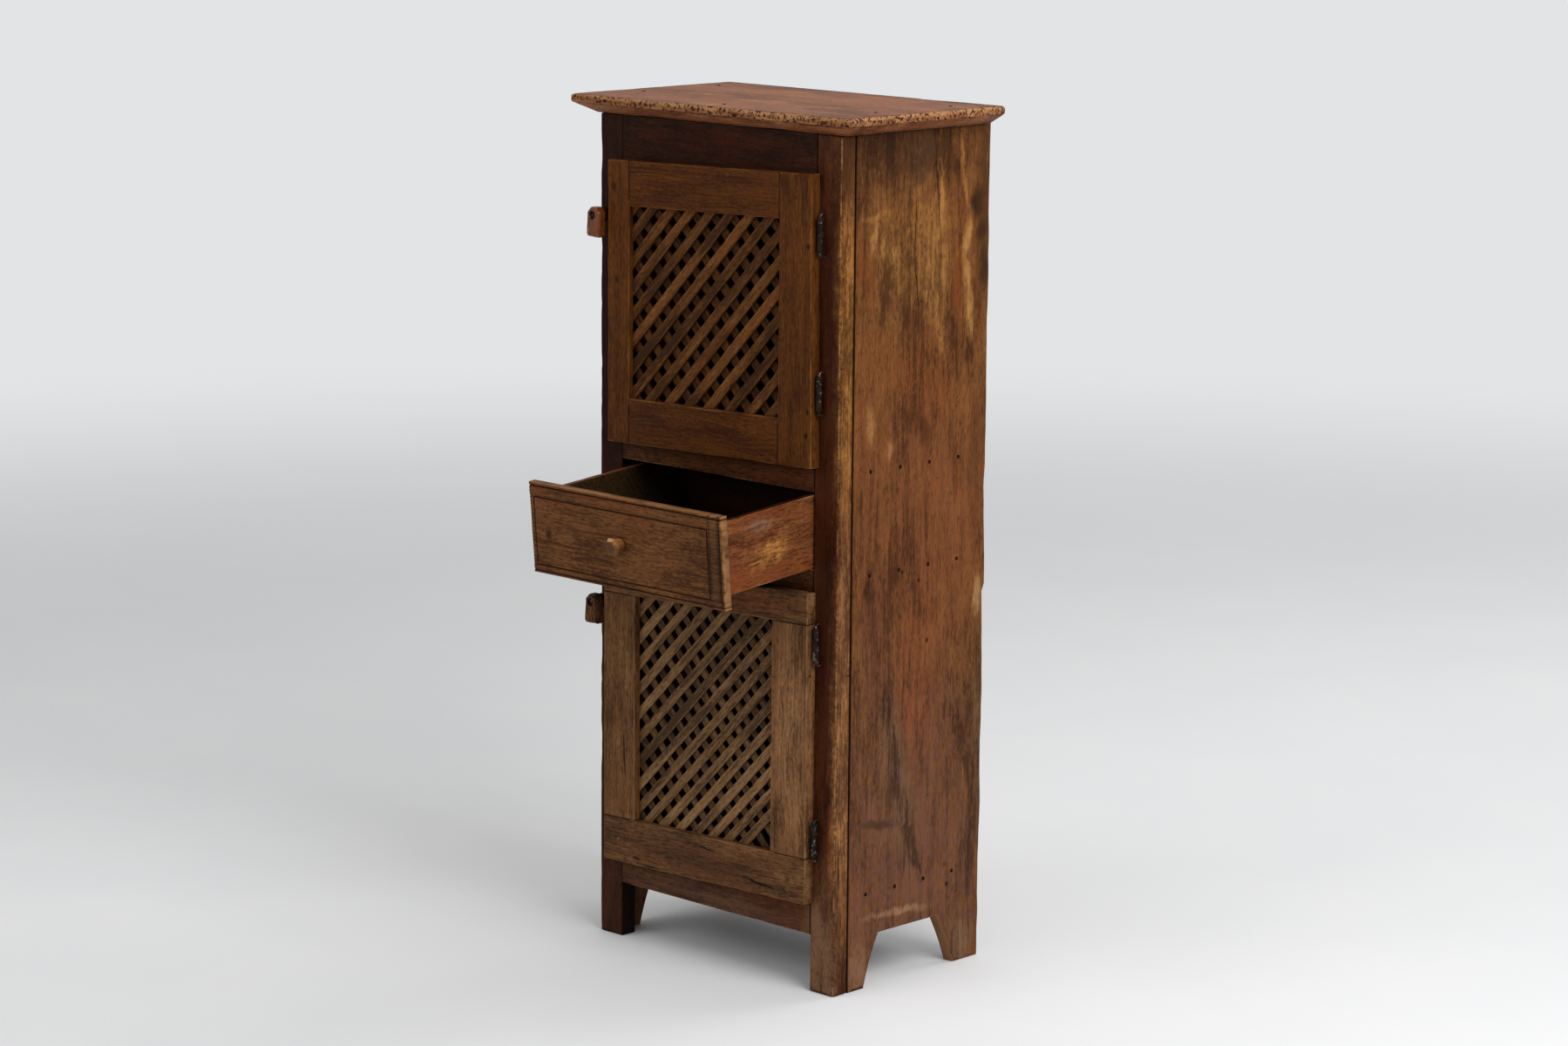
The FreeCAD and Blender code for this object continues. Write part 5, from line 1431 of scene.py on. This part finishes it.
@dataclass
class Door:
    """A lattice door that has racked out of square, in millimetres."""

    name: str
    left: float
    right: float
    low: float
    high: float
    rise: float
    stiles: tuple[float, float]
    rails: tuple[float, float]
    flare: float
    full_stiles: bool
    recess: float
    axis_x: float
    barrels: tuple[float, float]
    layers: tuple[Layer, Layer]
    seed: int
    tones: tuple[float, float, float, float]
    face: float = -172.4
    rear: float = -154.4
    step: float = 9.0
    fit: float = 0.3
    axis_y: float = -162.4
    barrel_radius: float = 4.35
    barrel_length: float = 50.0
    leaf_depth: float = 13.0
    leaf_thickness: float = 1.6
    wire_radius: float = 1.6
    wire_reach: float = 30.0
    wire_end: float = -141.0
    wire_bend: float = 3.0
    # the back layer of slats is darker: partly dust, partly painted shade
    back_tone: float = 0.5
    inner_tone: float = 0.75
    least_slat: float = 6.0

    def racked(self, x: float, z: float) -> tuple[float, float]:
        """A corner of the door, lifted in proportion to its distance from the free edge."""
        return x, z + self.rise * (x - self.left) / (self.right - self.left)

    def outline(
        self, x: Sequence[float], z: Sequence[float], flare: float = 0.0
    ) -> list[tuple[float, float]]:
        """Low left, low right, high right and high left corners of a member."""
        corners = ((x[0], z[0]), (x[1], z[0]), (x[1] - flare, z[1]), (x[0], z[1]))
        return [self.racked(*corner) for corner in corners]

    def opening(self) -> tuple[float, float, float, float]:
        """Left, right, low and high of the opening, before racking."""
        right = self.right - self.flare - self.stiles[1]
        return self.left + self.stiles[0], right, self.low + self.rails[0], self.high - self.rails[1]

    def build(self, dresser: Dresser) -> None:
        """Makes the door's frame, lattice and hinges."""
        self.frame(dresser)
        ahead = self.face + self.recess
        inner = (ahead + self.rear) / 2
        finish = self.name.replace("door", "lattice_wood")
        # the back layer of slats takes back_tone: partly dust, partly painted shade
        depths, tones = ((ahead, inner), (inner, self.rear)), (1.0, self.back_tone)
        for key, layer, y, tone in zip(("front_slats", "back_slats"), self.layers, depths, tones):
            shells = self.slats(layer, y, self.seed + len(key), tone)
            dresser.piece(f"{self.name}_{key}_whittled", shells, finish, self.name, f"{self.name}_{key}")
        for key, finish, shape, body, node in (
            ("rolled_leaves", "wrought_iron", self.leaf, self.name, "hinge_leaves"),
            ("wires", "wire_iron", self.wire, "cabinet", "hinge_staples"),
        ):
            shells = [shape(middle) for middle in self.barrels]
            dresser.piece(f"{self.name}_{key}", shells, finish, body, f"{self.name}_{node}")

    def frame(self, dresser: Dresser) -> None:
        """Makes the four members, each with the step that the slats lie in."""
        left, right, low, high = self.opening()
        end = self.right - self.flare
        if self.full_stiles:
            stile_z, rail_x, lean = (self.low, self.high), (left, right), self.flare
        else:
            stile_z, rail_x, lean = (low, high), (self.left, end), 0.0
        members = {
            "left_stile": (self.outline((self.left, left), stile_z), "z", Face.HIGH),
            "right_stile": (self.outline((right, end + lean), stile_z, lean), "z", Face.LOW),
            "bottom_rail": (self.outline(rail_x, (self.low, low)), "x", Face.HIGH),
            "top_rail": (self.outline(rail_x, (high, self.high)), "x", Face.LOW),
        }
        for k, (key, (outline, along, edge)) in enumerate(members.items()):
            span, pocket = (stile_z, (low, high)) if along == "z" else (rail_x, (left, right))
            full = span[1] - span[0] > pocket[1] - pocket[0] + 1
            reach = tuple((at - span[0]) * MM for at in (pocket[0] - self.step, pocket[1] + self.step))
            board = Board(
                Board.plate(outline, (self.face, self.rear), along), self.seed + 10 * k, spacing=8 * MM,
                shut=() if full else (Face.START, Face.END), tone=self.tones[k], back_tone=self.inner_tone,
                rabbet=Rabbet(edge, self.step * MM, self.recess * MM, reach),
            )
            name = f"{self.name}_{key}"
            dresser.piece(f"{name}_board", [board.shell()], f"{self.name}_wood", self.name, name)

    def slats(self, layer: Layer, y: tuple[float, float], seed: int, tone: float) -> list[Shell]:
        """One layer of the lattice.

        Each long edge of a slat is a line, kept between the points where it crosses the four sides
        of the step round the opening; the slat is the board between its two kept edges.

        Args:
            layer: the layer's spacing.
            y: its front and back.
            seed: varies the widths and the wood.
            tone: how light the layer is.

        Returns:
            One shell for each slat.
        """
        left, right, low, high = self.opening()
        grown = self.step - self.fit
        bed = np.array(self.outline((left - grown, right + grown), (low - grown, high + grown)))
        run = np.roll(bed, -1, axis=0) - bed
        normals = unit(beside(-run[:, 1], run[:, 0]))
        tilt = math.radians(layer.slope)
        along, square = np.array([[math.cos(tilt), math.sin(tilt)], [-math.sin(tilt), math.cos(tilt)]])
        rate = normals @ along
        corner = np.array(self.racked(left, low))
        chance = np.random.default_rng(seed)
        shells = []
        for offset in layer.offsets((self.right - self.left) + (self.high - self.low)):
            edges = []
            for side, extra in zip((-1, 1), chance.uniform(-0.45, 0.3, 2)):
                start = corner + square * (offset + side * (layer.width / 2 + extra))
                crossing = -((start - bed) * normals).sum(-1) / rate
                kept = crossing[rate > 0].max(), crossing[rate < 0].min()
                edges.append([start + along * at for at in kept])
            (low_a, high_a), (low_b, high_b) = edges
            if min((high_a - low_a) @ along, (high_b - low_b) @ along) < self.least_slat:
                continue
            slat = Board(
                Board.plate((low_a, low_b, high_b, high_a), y, "z"), int(chance.integers(1, 99999)), 0.9 * MM,
                spacing=13 * MM, arc=2, sides=(0.12, 0.5, 0.88), shut=(Face.START, Face.END),
                tone=tone * chance.uniform(0.82, 1.15),
            )
            shells.append(slat.shell())
        return shells

    def leaf(self, middle: float) -> Shell:
        """One rolled leaf.

        The sheet's thickness is laid either side of a line that runs flat and then round the pin
        for most of a turn, and that section is carried up the hinge.

        Args:
            middle: the height of its middle.

        Returns:
            The shell.
        """
        roll = self.barrel_radius - self.leaf_thickness / 2
        turn = np.radians(np.linspace(90, -200, 26))
        axis = np.array([self.axis_x, self.axis_y])
        flat = np.linspace(self.right - self.leaf_depth, self.axis_x - 0.2, 8)
        round_pin = axis + roll * beside(np.cos(turn), np.sin(turn))
        line = np.concatenate([beside(flat, self.axis_y + roll), round_pin])
        run = unit(np.gradient(line, axis=0))
        across = beside(-run[:, 1], run[:, 0]) * (self.leaf_thickness / 2 - 0.05)
        loop = np.concatenate([line + across, (line - across)[::-1]])
        share = np.array([-1, -0.985, -0.9, -0.7, -0.4, -0.1, 0.2, 0.5, 0.8, 0.93, 0.985, 1])
        pinch = 1 - 0.012 * (abs(share) > 0.98)
        rings = axis + (loop[None] - axis) * pinch[:, None, None]
        z = middle + self.barrel_length / 2 * share[:, None]
        rings = beside(rings[..., 0], rings[..., 1], z) * MM
        return shell_of_rings(rings, rings)

    def wire(self, middle: float) -> Shell:
        """One wire pin: a circle carried along a path that bends back into the stile at both ends.

        Args:
            middle: the height of its middle.

        Returns:
            The shell.
        """
        reach, y, bend = self.wire_reach, self.axis_y, self.wire_bend
        corner = np.array([
            (self.wire_end, -reach), (y + bend, -reach), (y, bend - reach),
            (y, reach - bend), (y + bend, reach), (self.wire_end, reach),
        ])
        spans = np.concatenate([[0], np.cumsum(np.linalg.norm(np.diff(corner, axis=0), axis=1))])
        at = np.linspace(0, spans[-1], 90)
        path = beside(*(np.interp(at, spans, corner[:, k]) for k in (0, 1)))
        soften = np.array([1, 2, 3, 2, 1]) / 9
        inner = beside(*(np.convolve(path[:, k], soften, "valid") for k in (0, 1)))
        path = np.concatenate([path[:1], inner, path[-1:]])
        run = unit(np.gradient(path, axis=0))
        turn = np.linspace(0, 2 * np.pi, 12, endpoint=False)
        radius = self.wire_radius - 0.03
        x, out = self.axis_x + radius * np.cos(turn), radius * np.sin(turn)
        rings = beside(x, path[:, :1] - run[:, 1:] * out, path[:, 1:] + run[:, :1] * out + middle) * MM
        return shell_of_rings(rings, rings)


# ---- Drawer ------------------------------------------------------------------------------------
@dataclass
class Drawer:
    """The drawer, with sizes taken closed and level, then tipped to its runners and pulled out."""

    pivot: tuple[float, float] = (-154.0, 613.0)
    slope: float = 5.0
    pull: float = 171.0
    shift: float = 3.0
    front_middle: float = 6.5
    half_width: float = 193.0
    face: float = -169.70
    rear: float = -155.70
    low: float = 597.0
    high: float = 730.0
    rounding: float = 2.5
    bands: tuple[float, float, float, float] = (21.0, 28.0, 13.0, 10.0)
    bead: float = 4.0
    groove_width: float = 2.8
    groove_depth: float = 1.7
    swell: float = 0.85
    notch_pitch: float = 4.8
    notch_depth: float = 0.9
    box_half: float = 188.0
    board: float = 11.0
    base: float = 613.3
    box_heights: tuple[float, float] = (98.0, 105.0)
    # the right side's inner face is near black: painted shade inside the drawer; a back_tone of 6.2 gives its
    # outer face its tone back
    box_tones: tuple[tuple[float, float], ...] = ((1.0, 1.0), (0.16, 6.2))
    box_y: tuple[float, float] = (-159.70, 127.0)
    sawn_reach: float = 1.5
    back_height: float = 80.0
    # the drawer back is near black inside: painted shade; its outer face is brought back to 0.8
    back_tones: tuple[float, float] = (0.1, 8.0)
    bottom_up: float = 8.0
    bottom_board: float = 7.0
    knob_length: float = 21.5
    knob_sides: int = 6

    def pulled(self, points: np.ndarray) -> np.ndarray:
        """Places the closed drawer's points as the drawer stands.

        The points turn about the pivot, move down the slope and a little to the right.

        Args:
            points: any array of points, in metres.

        Returns:
            The same, moved.
        """
        turn, away = math.radians(self.slope), self.pull * MM
        level, height = (at * MM for at in self.pivot)
        y, z = points[..., 1] - level, points[..., 2] - height
        return beside(
            points[..., 0] + self.shift * MM,
            level + y * math.cos(turn) - z * math.sin(turn) - away * math.cos(turn),
            height + y * math.sin(turn) + z * math.cos(turn) - away * math.sin(turn),
        )

    def build(self, dresser: Dresser) -> None:
        """Makes the front, the box and the knob."""
        self.front(dresser)
        inner, rear = self.box_half - self.board, self.box_y[1]
        for side, name, height, tones in zip((-1, 1), ("left", "right"), self.box_heights, self.box_tones):
            x = sorted((side * inner, side * self.box_half))
            corners = self.pulled(Board.box(x, self.box_y, (self.base, self.base + height), "y"))
            tone, back_tone = tones
            shell = Board(
                corners, 81 + side, 1.4 * MM, 0.9 * MM, shut=(Face.START,), tone=tone, back_tone=back_tone
            ).shell()
            # the left side's inner face: saw marks, in dark colours that also paint the shade inside the
            # drawer
            if side < 0:
                inside = abs(shell.points[:, 0] / MM - (self.shift - inner)) < self.sawn_reach
                shell.sawn = np.where(inside, 1.0, 0.0)
            dresser.piece(f"drawer_{name}_side", [shell], "drawer_box_wood", "drawer", f"drawer_side_{name}")
        low = self.base + self.bottom_up + self.bottom_board
        corners = Board.box((-inner, inner), (rear - self.board, rear), (low, low + self.back_height), "x")
        shut, (tone, back_tone) = (Face.START, Face.END, Face.LOW), self.back_tones
        board = Board(self.pulled(corners), 91, shut=shut, tone=tone, back_tone=back_tone)
        dresser.piece("drawer_back_board", [board.shell()], "drawer_box_wood", "drawer", "drawer_back")
        self.knob(dresser)

    def grooves(self) -> tuple[tuple[float, ...], tuple[float, ...]]:
        """Where the upright grooves stand, from the face's middle, and how high the level ones are."""
        top, right, bottom, left = self.bands
        half, low, high, bead = self.half_width, self.low, self.high, self.bead
        return (left - half, half - right, half - bead), (low + bottom, high - top, high - bead, low + bead)

    def lines(self) -> tuple[np.ndarray, ...]:
        """Where the face's points stand across and up: close together at its rim and its grooves."""
        half, low, high = self.half_width, self.low, self.high
        near = np.array([-1.6, -1.3, -0.65, 0, 0.65, 1.3, 1.6])
        rim = np.array([0, 0.35, 0.9, 1.7, 2.6, 3.4])
        across, up = ([line + near for line in lines] for lines in self.grooves())
        band = np.arange(half - self.bands[1] - 9, half - 4, 1.1)
        x = np.concatenate([rim - half, half - rim, np.linspace(5 - half, half - 5, 60), band, *across])
        z = np.concatenate([low + rim, high - rim, np.arange(low + 4, high - 4, 1.05), *up])
        places = (np.unique(np.round(line, 2)) for line in (x, z))
        return tuple(line[np.concatenate([[True], np.diff(line) > 0.2])] for line in places)

    def carved(self, x: np.ndarray, z: np.ndarray) -> tuple[np.ndarray, np.ndarray]:
        """How deep the face is cut at each point, and how far the moulding swells there.

        A groove is a V about its line; notches are short Vs at an even pitch down three lines, two
        in the right band and one on the left rim; each band between grooves is a low arch, lowest
        at both its sides.

        Args:
            x: places across, from the face's middle.
            z: heights.

        Returns:
            The depth of the cuts and of the arches' hollows.
        """
        half = self.half_width
        (left, right, rim), (low, high, top_bead, low_bead) = self.grooves()

        def groove(distance: np.ndarray, where: np.ndarray | bool = True) -> np.ndarray:
            """Depth of a V at a distance from its line."""
            return self.groove_depth * np.clip(1 - abs(distance) / (self.groove_width / 2), 0, 1) * where

        def arch(value: np.ndarray, start: float, end: float) -> np.ndarray:
            """Depth below the crown of a band between two lines."""
            share = (value - start) / (end - start)
            return np.where((share > 0) & (share < 1), self.swell * (2 * share - 1) ** 2, 0.0)

        panel, upright = (x > left - 1) & (x < right + 1), (z > low - 1) & (z < high + 1)
        cut = np.maximum.reduce([
            groove(z - low, panel), groove(z - high, panel), groove(x - left, upright),
            groove(x - right, upright), groove(z - top_bead), groove(z - low_bead), groove(x - rim),
        ])
        tooth = np.clip(1 - abs((z - self.low) % self.notch_pitch - self.notch_pitch / 2) / 1.9, 0, 1)
        for line, reach in ((rim - 2.5, 2.2), (right + 4.6, 2.2), (1.0 - half, 3.0)):
            cut = np.maximum(cut, self.notch_depth * tooth * np.clip(1.3 - abs(x - line) / reach, 0, 1))
        arches = [arch(x, right, rim) * upright, arch(x, -half, left) * upright]
        return cut, np.maximum.reduce([arch(z, high, top_bead), arch(z, low_bead, low), *arches])

    def front(self, dresser: Dresser) -> None:
        """Makes the moulded front: a sheet of depths over a grid, with a quarter circle at its rim."""
        gx, gz = np.meshgrid(*self.lines())
        cut, hollow = self.carved(gx, gz)
        rim = np.minimum(self.half_width - abs(gx), np.minimum(gz - self.low, self.high - gz))
        flat = beside(gx, gz) * MM
        uneven = np.clip(waves(flat, 95, 70 * MM) + 1.2, 0, 3) * 0.15
        chewed = np.clip(waves(flat, 97, 30 * MM), 0, 1.5) * fading(rim, 2.5)
        depth = cut + hollow + sunk(rim, self.rounding) + uneven + 0.8 * chewed
        y = np.minimum(self.face + depth, self.rear - 2)
        # tone paints light and shade on the moulding: crowns of the bands lighter, hollows and grooves
        # darker; grime darkens the grooves as well
        shell = shell_of_sheets(
            *(beside(gx + self.front_middle, level, gz) * MM for level in (y, self.rear)),
            np.ones((len(gx) - 1, gx.shape[1] - 1), bool), (2, 1, 0), 96,
            wear=fading(rim, 2.5) * 0.9, grime=0.9 * np.sqrt(cut / self.groove_depth),
            tone=1.12 - 0.5 * hollow / self.swell - 0.25 * (cut > 0),
        )
        shell.points = self.pulled(shell.points)
        dresser.piece("drawer_moulded_front", [shell], "drawer_front_wood", "drawer", "drawer_front")

    def knob(self, dresser: Dresser) -> None:
        """Makes the whittled knob: six uneven flats, wide in the middle, carried along its length, with a
        painted highlight on its top flats and painted shade on its end.
        """
        ahead, radius = np.array([
            (-21.5, 4.0), (-21.5, 8.8), (-21.4, 9.6), (-21.0, 10.3), (-17.2, 13.7), (-16.6, 14.2),
            (-15.8, 14.3), (-14.6, 14.0), (-9.0, 12.7), (-4.5, 11.7), (-1.2, 10.8), (0.6, 10.4),
        ]).T[..., None]
        chance = np.random.default_rng(7)
        uneven = chance.uniform(-0.08, 0.08, self.knob_sides)
        turn = 2 * np.pi * np.arange(self.knob_sides) / self.knob_sides + uneven
        shape = beside(np.cos(turn), np.sin(turn)) * chance.uniform(0.96, 1.0, (self.knob_sides, 1))
        loops = rounded_loops(shape[None] * radius[..., None], radius * 0.05, 2, (0.1, 0.9))
        middle = (self.low + self.high) / 2
        rings = beside(loops[..., 0], self.face + ahead, loops[..., 1] + middle) * MM
        outer = np.clip(-ahead / self.knob_length, 0, 1)
        # painted highlight: upper flats paler through wear and a higher tone; painted shade: the end face at
        # tone 0.5
        end = ahead < -21.2
        painted_top_light = np.clip(loops[..., 1] / 9.0 - 0.2, 0, 1)
        shell = shell_of_rings(
            self.pulled(rings), rings[..., [0, 2, 1]], (0.02, -0.63, 0.1), grime=fading(-ahead, 2.5),
            wear=np.where(end, 0.0, painted_top_light * outer), tone=np.where(end, 0.5, 0.75 + 0.75 * painted_top_light),
        )
        dresser.piece("whittled_knob", [shell], "honey_knob_wood", "drawer", "drawer_knob")


# ---- Turn buttons ------------------------------------------------------------------------------
@dataclass
class TurnButton:
    """A whittled toggle on its pin, nose down, in millimetres about the pin."""

    name: str
    slot: str
    x: float
    z: float
    seed: int
    width: float = 25.0
    nose: float = 32.0
    tail: float = 12.0
    tail_corner: float = 7.0
    radii: tuple[float, ...] = (2.4, 2.4, 2.0, 2.0, 2.0, 2.0)
    back: float = -172.9
    thickness: float = 15.0
    chamfer: float = 3.5
    boss_radius: float = 10.4
    boss_back: float = -154.5
    sink_radius: float = 6.0
    sink_depth: float = 5.0
    flat_share: float = 0.03
    flat_depth: float = 0.5

    def stations(self, ray: np.ndarray, reach: np.ndarray) -> tuple[np.ndarray, np.ndarray]:
        """The rings, from the sinking's bottom out over the face, down the sides and down the boss.

        Args:
            ray: each point's direction from the pin.
            reach: how far the outline is in that direction.

        Returns:
            The rings as flat points, and the depth of each.
        """
        sink, cut, boss = self.sink_radius, self.chamfer, self.boss_radius
        face, back = self.back - self.thickness, self.back
        bottom, rim, top = face + self.sink_depth, sink + 1.1, reach - cut
        rows = (
            (1.0, bottom), (sink - 0.8, bottom), (sink, bottom - 0.8), (sink, face + 0.7),
            (sink + 0.5, face + 0.1), (rim, face), (rim * 0.4 + top * 0.6, face), (top * 0.985, face),
            (top, face + 0.15),
            (reach - cut * 0.5, face + cut * 0.48), (reach - 0.4, face + cut), (reach, face + cut + 1),
            (reach, back - 3), (reach, back - 1), (reach - 0.8, back - 0.1), (reach - 1.6, back),
            (boss, back), (boss, self.boss_back), (2.2, self.boss_back),
        )
        radius, depth = zip(*rows)
        away = np.stack([np.broadcast_to(each, reach.shape) for each in radius])
        return ray * away, np.array(depth)[:, None]

    def build(self, dresser: Dresser) -> None:
        """Makes the toggle: its rings lie on rays from the pin, and a knife's strokes flatten it."""
        half, tail, corner = self.width / 2, self.tail, self.tail_corner
        outline = np.array([
            (-half, -self.nose), (half, -self.nose), (half, tail - corner),
            (half - corner, tail), (corner - half, tail), (-half, tail - corner),
        ])
        loop = rounded_loops(outline[None], self.radii, 4, (0.08, 0.3, 0.5, 0.7, 0.92))[0]
        flat, y = self.stations(unit(loop), np.linalg.norm(loop, axis=-1, keepdims=True))
        rings = beside(flat[..., 0], y, flat[..., 1])
        depth = 1 + (rings[..., 1] - self.back) / self.thickness
        size = np.linalg.norm(flat, axis=-1)
        knife = np.clip(waves(rings * MM, self.seed, 22 * MM), 0, 1)
        knife = knife * (size > self.boss_radius + 1) * (depth < 1.01)
        rings[..., [0, 2]] *= 1 - self.flat_share * knife[..., None]
        rings[..., 1] += self.flat_depth * knife * (depth < 0.1)
        rings = (rings + np.array([self.x, 0, self.z])) * MM
        # pale arrises: partly rubbed wear, partly painted highlight
        arris = np.where((depth > -0.05) & (depth < 0.3) & (size > self.boss_radius), 0.8, 0.1)
        bare = np.tile([1.0] * 5 + [0.6] * 5, len(outline))
        grime = np.where(size <= self.sink_radius + 0.1, 0.8, 0.0)
        shell = shell_of_rings(rings, rings, (0.1 * self.seed, 0.3, 0.2), wear=arris * bare, grime=grime)
        dresser.piece(f"{self.name}_whittled", [shell], self.slot, self.name.replace("turn_", ""), self.name)


# ---- Studio ------------------------------------------------------------------------------------
@dataclass
class Studio:
    """A pale floor, soft lamps and the camera."""

    camera_at: tuple[float, float, float] = (4.1358, -4.2860, 1.7589)
    turn: float = -0.76922478
    dip: float = 0.18684777
    roll: float = 0.0084344
    lens: float = 95.55
    sensor: float = 36.0
    floor_radius: float = 14.0
    ground: str = "E2E4E6"
    glow: float = 0.4
    fade: tuple[float, float] = (2.2, 6.0)
    lamps: tuple[tuple[str, tuple[float, float, float], float, float], ...] = (
        ("key", (2.9, -0.6, 2.9), 2.2, 95.0),
        ("front", (-1.2, -3.6, 2.4), 2.6, 38.0),
        ("back", (0.6, 3.0, 3.0), 2.4, 45.0),
    )
    lit_point: tuple[float, float, float] = (0.0, 0.0, 0.65)

    def build(self) -> None:
        """Sets the floor, the lamps, the surroundings and the camera."""
        self.floor()
        for lamp in self.lamps:
            self.lamp(*lamp)
        self.surroundings()
        self.camera()
        bpy.context.scene.view_settings.view_transform = "Standard"

    def floor(self) -> None:
        """Lays a round floor, rings of growing radius about the safe, that fades into the ground."""
        radii = np.linspace(0.02, 1, 24)[:, None] ** 1.6 * self.floor_radius
        turn = np.linspace(0, 2 * np.pi, 96, endpoint=False)
        points = beside(radii * np.cos(turn), radii * np.sin(turn), 0.0)
        outer_cap = len(turn) // 2 - 1
        faces = skin_faces(*points.shape[:2])[:-outer_cap]
        mesh = bpy.data.meshes.new("floor")
        mesh.from_pydata(points.reshape(-1, 3).tolist(), [], faces.tolist())
        made = show("floor", mesh)
        paint = Paint(bpy.data.materials.new("floor_paint"))
        place = paint.place()
        speck = SPECK.over(paint, place)
        colour = paint.mix(speck, hue("E8E9EA"), hue("EFEFF0"))
        lit = paint.surface(Base_Color=colour, Roughness=0.6 + speck * 0.1, Specular_IOR_Level=0.2)
        far = paint.step(paint.length(place), *self.fade) * paint.seen()
        ground = paint.node("Emission", {}, {"Color": hue(self.ground), "Strength": 1.0})
        mesh.materials.append(paint.finish(paint.node("MixShader", {}, {0: far, 1: lit, 2: ground})))

    def lamp(self, name: str, at: tuple[float, float, float], size: float, power: float) -> None:
        """Hangs one soft square lamp that points at the safe.

        Args:
            name: its name.
            at: where it hangs.
            size: its side in metres.
            power: its power in watts.
        """
        lamp = bpy.data.lights.new(name, "AREA")
        lamp.size = size
        lamp.energy = power
        made = show(name, lamp)
        away = unit(np.array(at) - np.array(self.lit_point))
        right = unit(np.cross((0.0, 0.0, 1.0), away))
        made.matrix_world = self.posed(right, np.cross(away, right), away, at)

    def surroundings(self) -> None:
        """Lights the safe evenly from all round, and shows the camera a pale ground."""
        paint = Paint(bpy.data.worlds.new("studio"))
        glow = paint.node("Background", {}, {"Color": (1.0, 1.0, 1.0, 1.0), "Strength": self.glow})
        ground = paint.node("Background", {}, {"Color": hue(self.ground), "Strength": 1.0})
        shown = paint.node("MixShader", {}, {0: paint.seen(), 1: glow, 2: ground})
        bpy.context.scene.world = paint.finish(shown)

    @staticmethod
    def posed(right: np.ndarray, up: np.ndarray, back: np.ndarray, at: Sequence[float]) -> Matrix:
        """A pose from three directions and a place."""
        rows = [[right[k], up[k], back[k], at[k]] for k in range(3)]
        return Matrix(rows + [[0, 0, 0, 1]])

    def camera(self) -> None:
        """Sets the camera: looks along a heading and a dip, with a slight roll."""
        camera = bpy.data.cameras.new("camera")
        camera.lens = self.lens
        camera.sensor_width = self.sensor
        made = show("camera", camera)
        across, along = math.cos(self.turn), math.sin(self.turn)
        level, down = math.cos(self.dip), math.sin(self.dip)
        straight, leaning = math.cos(self.roll), math.sin(self.roll)
        ahead = np.array([along * level, across * level, -down])
        right = np.array([across, -along, 0.0])
        up = np.cross(right, ahead)
        rolled = right * straight + up * leaning, up * straight - right * leaning
        made.matrix_world = self.posed(*rolled, -ahead, self.camera_at)
        bpy.context.scene.camera = made


UPPER_DOOR = Door(
    "upper_door", left=-205.5, right=203.55, low=749.0, high=1159.0, rise=10.0, stiles=(44.0, 61.0),
    rails=(66.0, 65.0), flare=4.0, full_stiles=True, recess=8.0, axis_x=208.5, barrels=(864.0, 1085.0),
    layers=(Layer(45.7, -193.7, 28.64, -0.071, 14.6), Layer(-44.9, 1.1, 27.76, 0.017, 13.8)), seed=101,
    tones=(1.0, 1.0, 0.98, 1.0),
)
LOWER_DOOR = Door(
    "lower_door", left=-213.5, right=199.55, low=120.0, high=570.0, rise=11.5, stiles=(65.0, 69.0),
    rails=(67.0, 45.0), flare=0.0, full_stiles=False, recess=11.0, axis_x=207.5, barrels=(225.0, 508.0),
    layers=(Layer(45.1, -148.3, 21.61, 0.205, 13.8), Layer(-46.0, 4.2, 27.9, -0.22, 12.4)), seed=201,
    tones=(1.05, 1.2, 0.95, 1.1),
)
UPPER_BUTTON = TurnButton("upper_turn_button", "red_button_wood", -222.5, 1078.0, 301)
LOWER_BUTTON = TurnButton("lower_turn_button", "dark_button_wood", -226.5, 508.0, 302)

KEPT_NODES = {
    "lower_floor": ("inner_wood", Grain.ALONG_X),
    "upper_floor": ("inner_wood", Grain.ALONG_X),
    "drawer_runners": ("inner_wood", Grain.ALONG_Y),
    "drawer_guides": ("inner_wood", Grain.ALONG_Y),
    "drawer_bottom": ("inner_wood", Grain.ALONG_Y),
    "upper_door_pegs": ("upper_door_wood", Grain.ALONG_Y),
    "lower_door_pegs": ("lower_door_wood", Grain.ALONG_Y),
    "back_nails": ("nail_iron", Grain.ALONG_Z),
    "side_nails": ("nail_iron", Grain.ALONG_Z),
    "top_nails": ("nail_iron", Grain.ALONG_Z),
    "drawer_nails": ("nail_iron", Grain.ALONG_Z),
    "turn_button_pins": ("wrought_iron", Grain.ALONG_Z),
}


def main() -> None:
    """Builds the studio, then every sub-assembly in order, then repaints the CAD nodes that stay."""
    logging.basicConfig(level=logging.INFO, format="%(name)s: %(message)s")
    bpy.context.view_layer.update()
    dresser = Dresser(Palette())
    Studio().build()
    for assembly in (Case(), TopBoard(), UPPER_DOOR, LOWER_DOOR, Drawer(), UPPER_BUTTON, LOWER_BUTTON):
        assembly.build(dresser)
        LOG.info("built %s", getattr(assembly, "name", type(assembly).__name__))
    for node, (finish, grain) in KEPT_NODES.items():
        dresser.repaint(node, finish, grain)


if __name__ == "__main__":
    main()
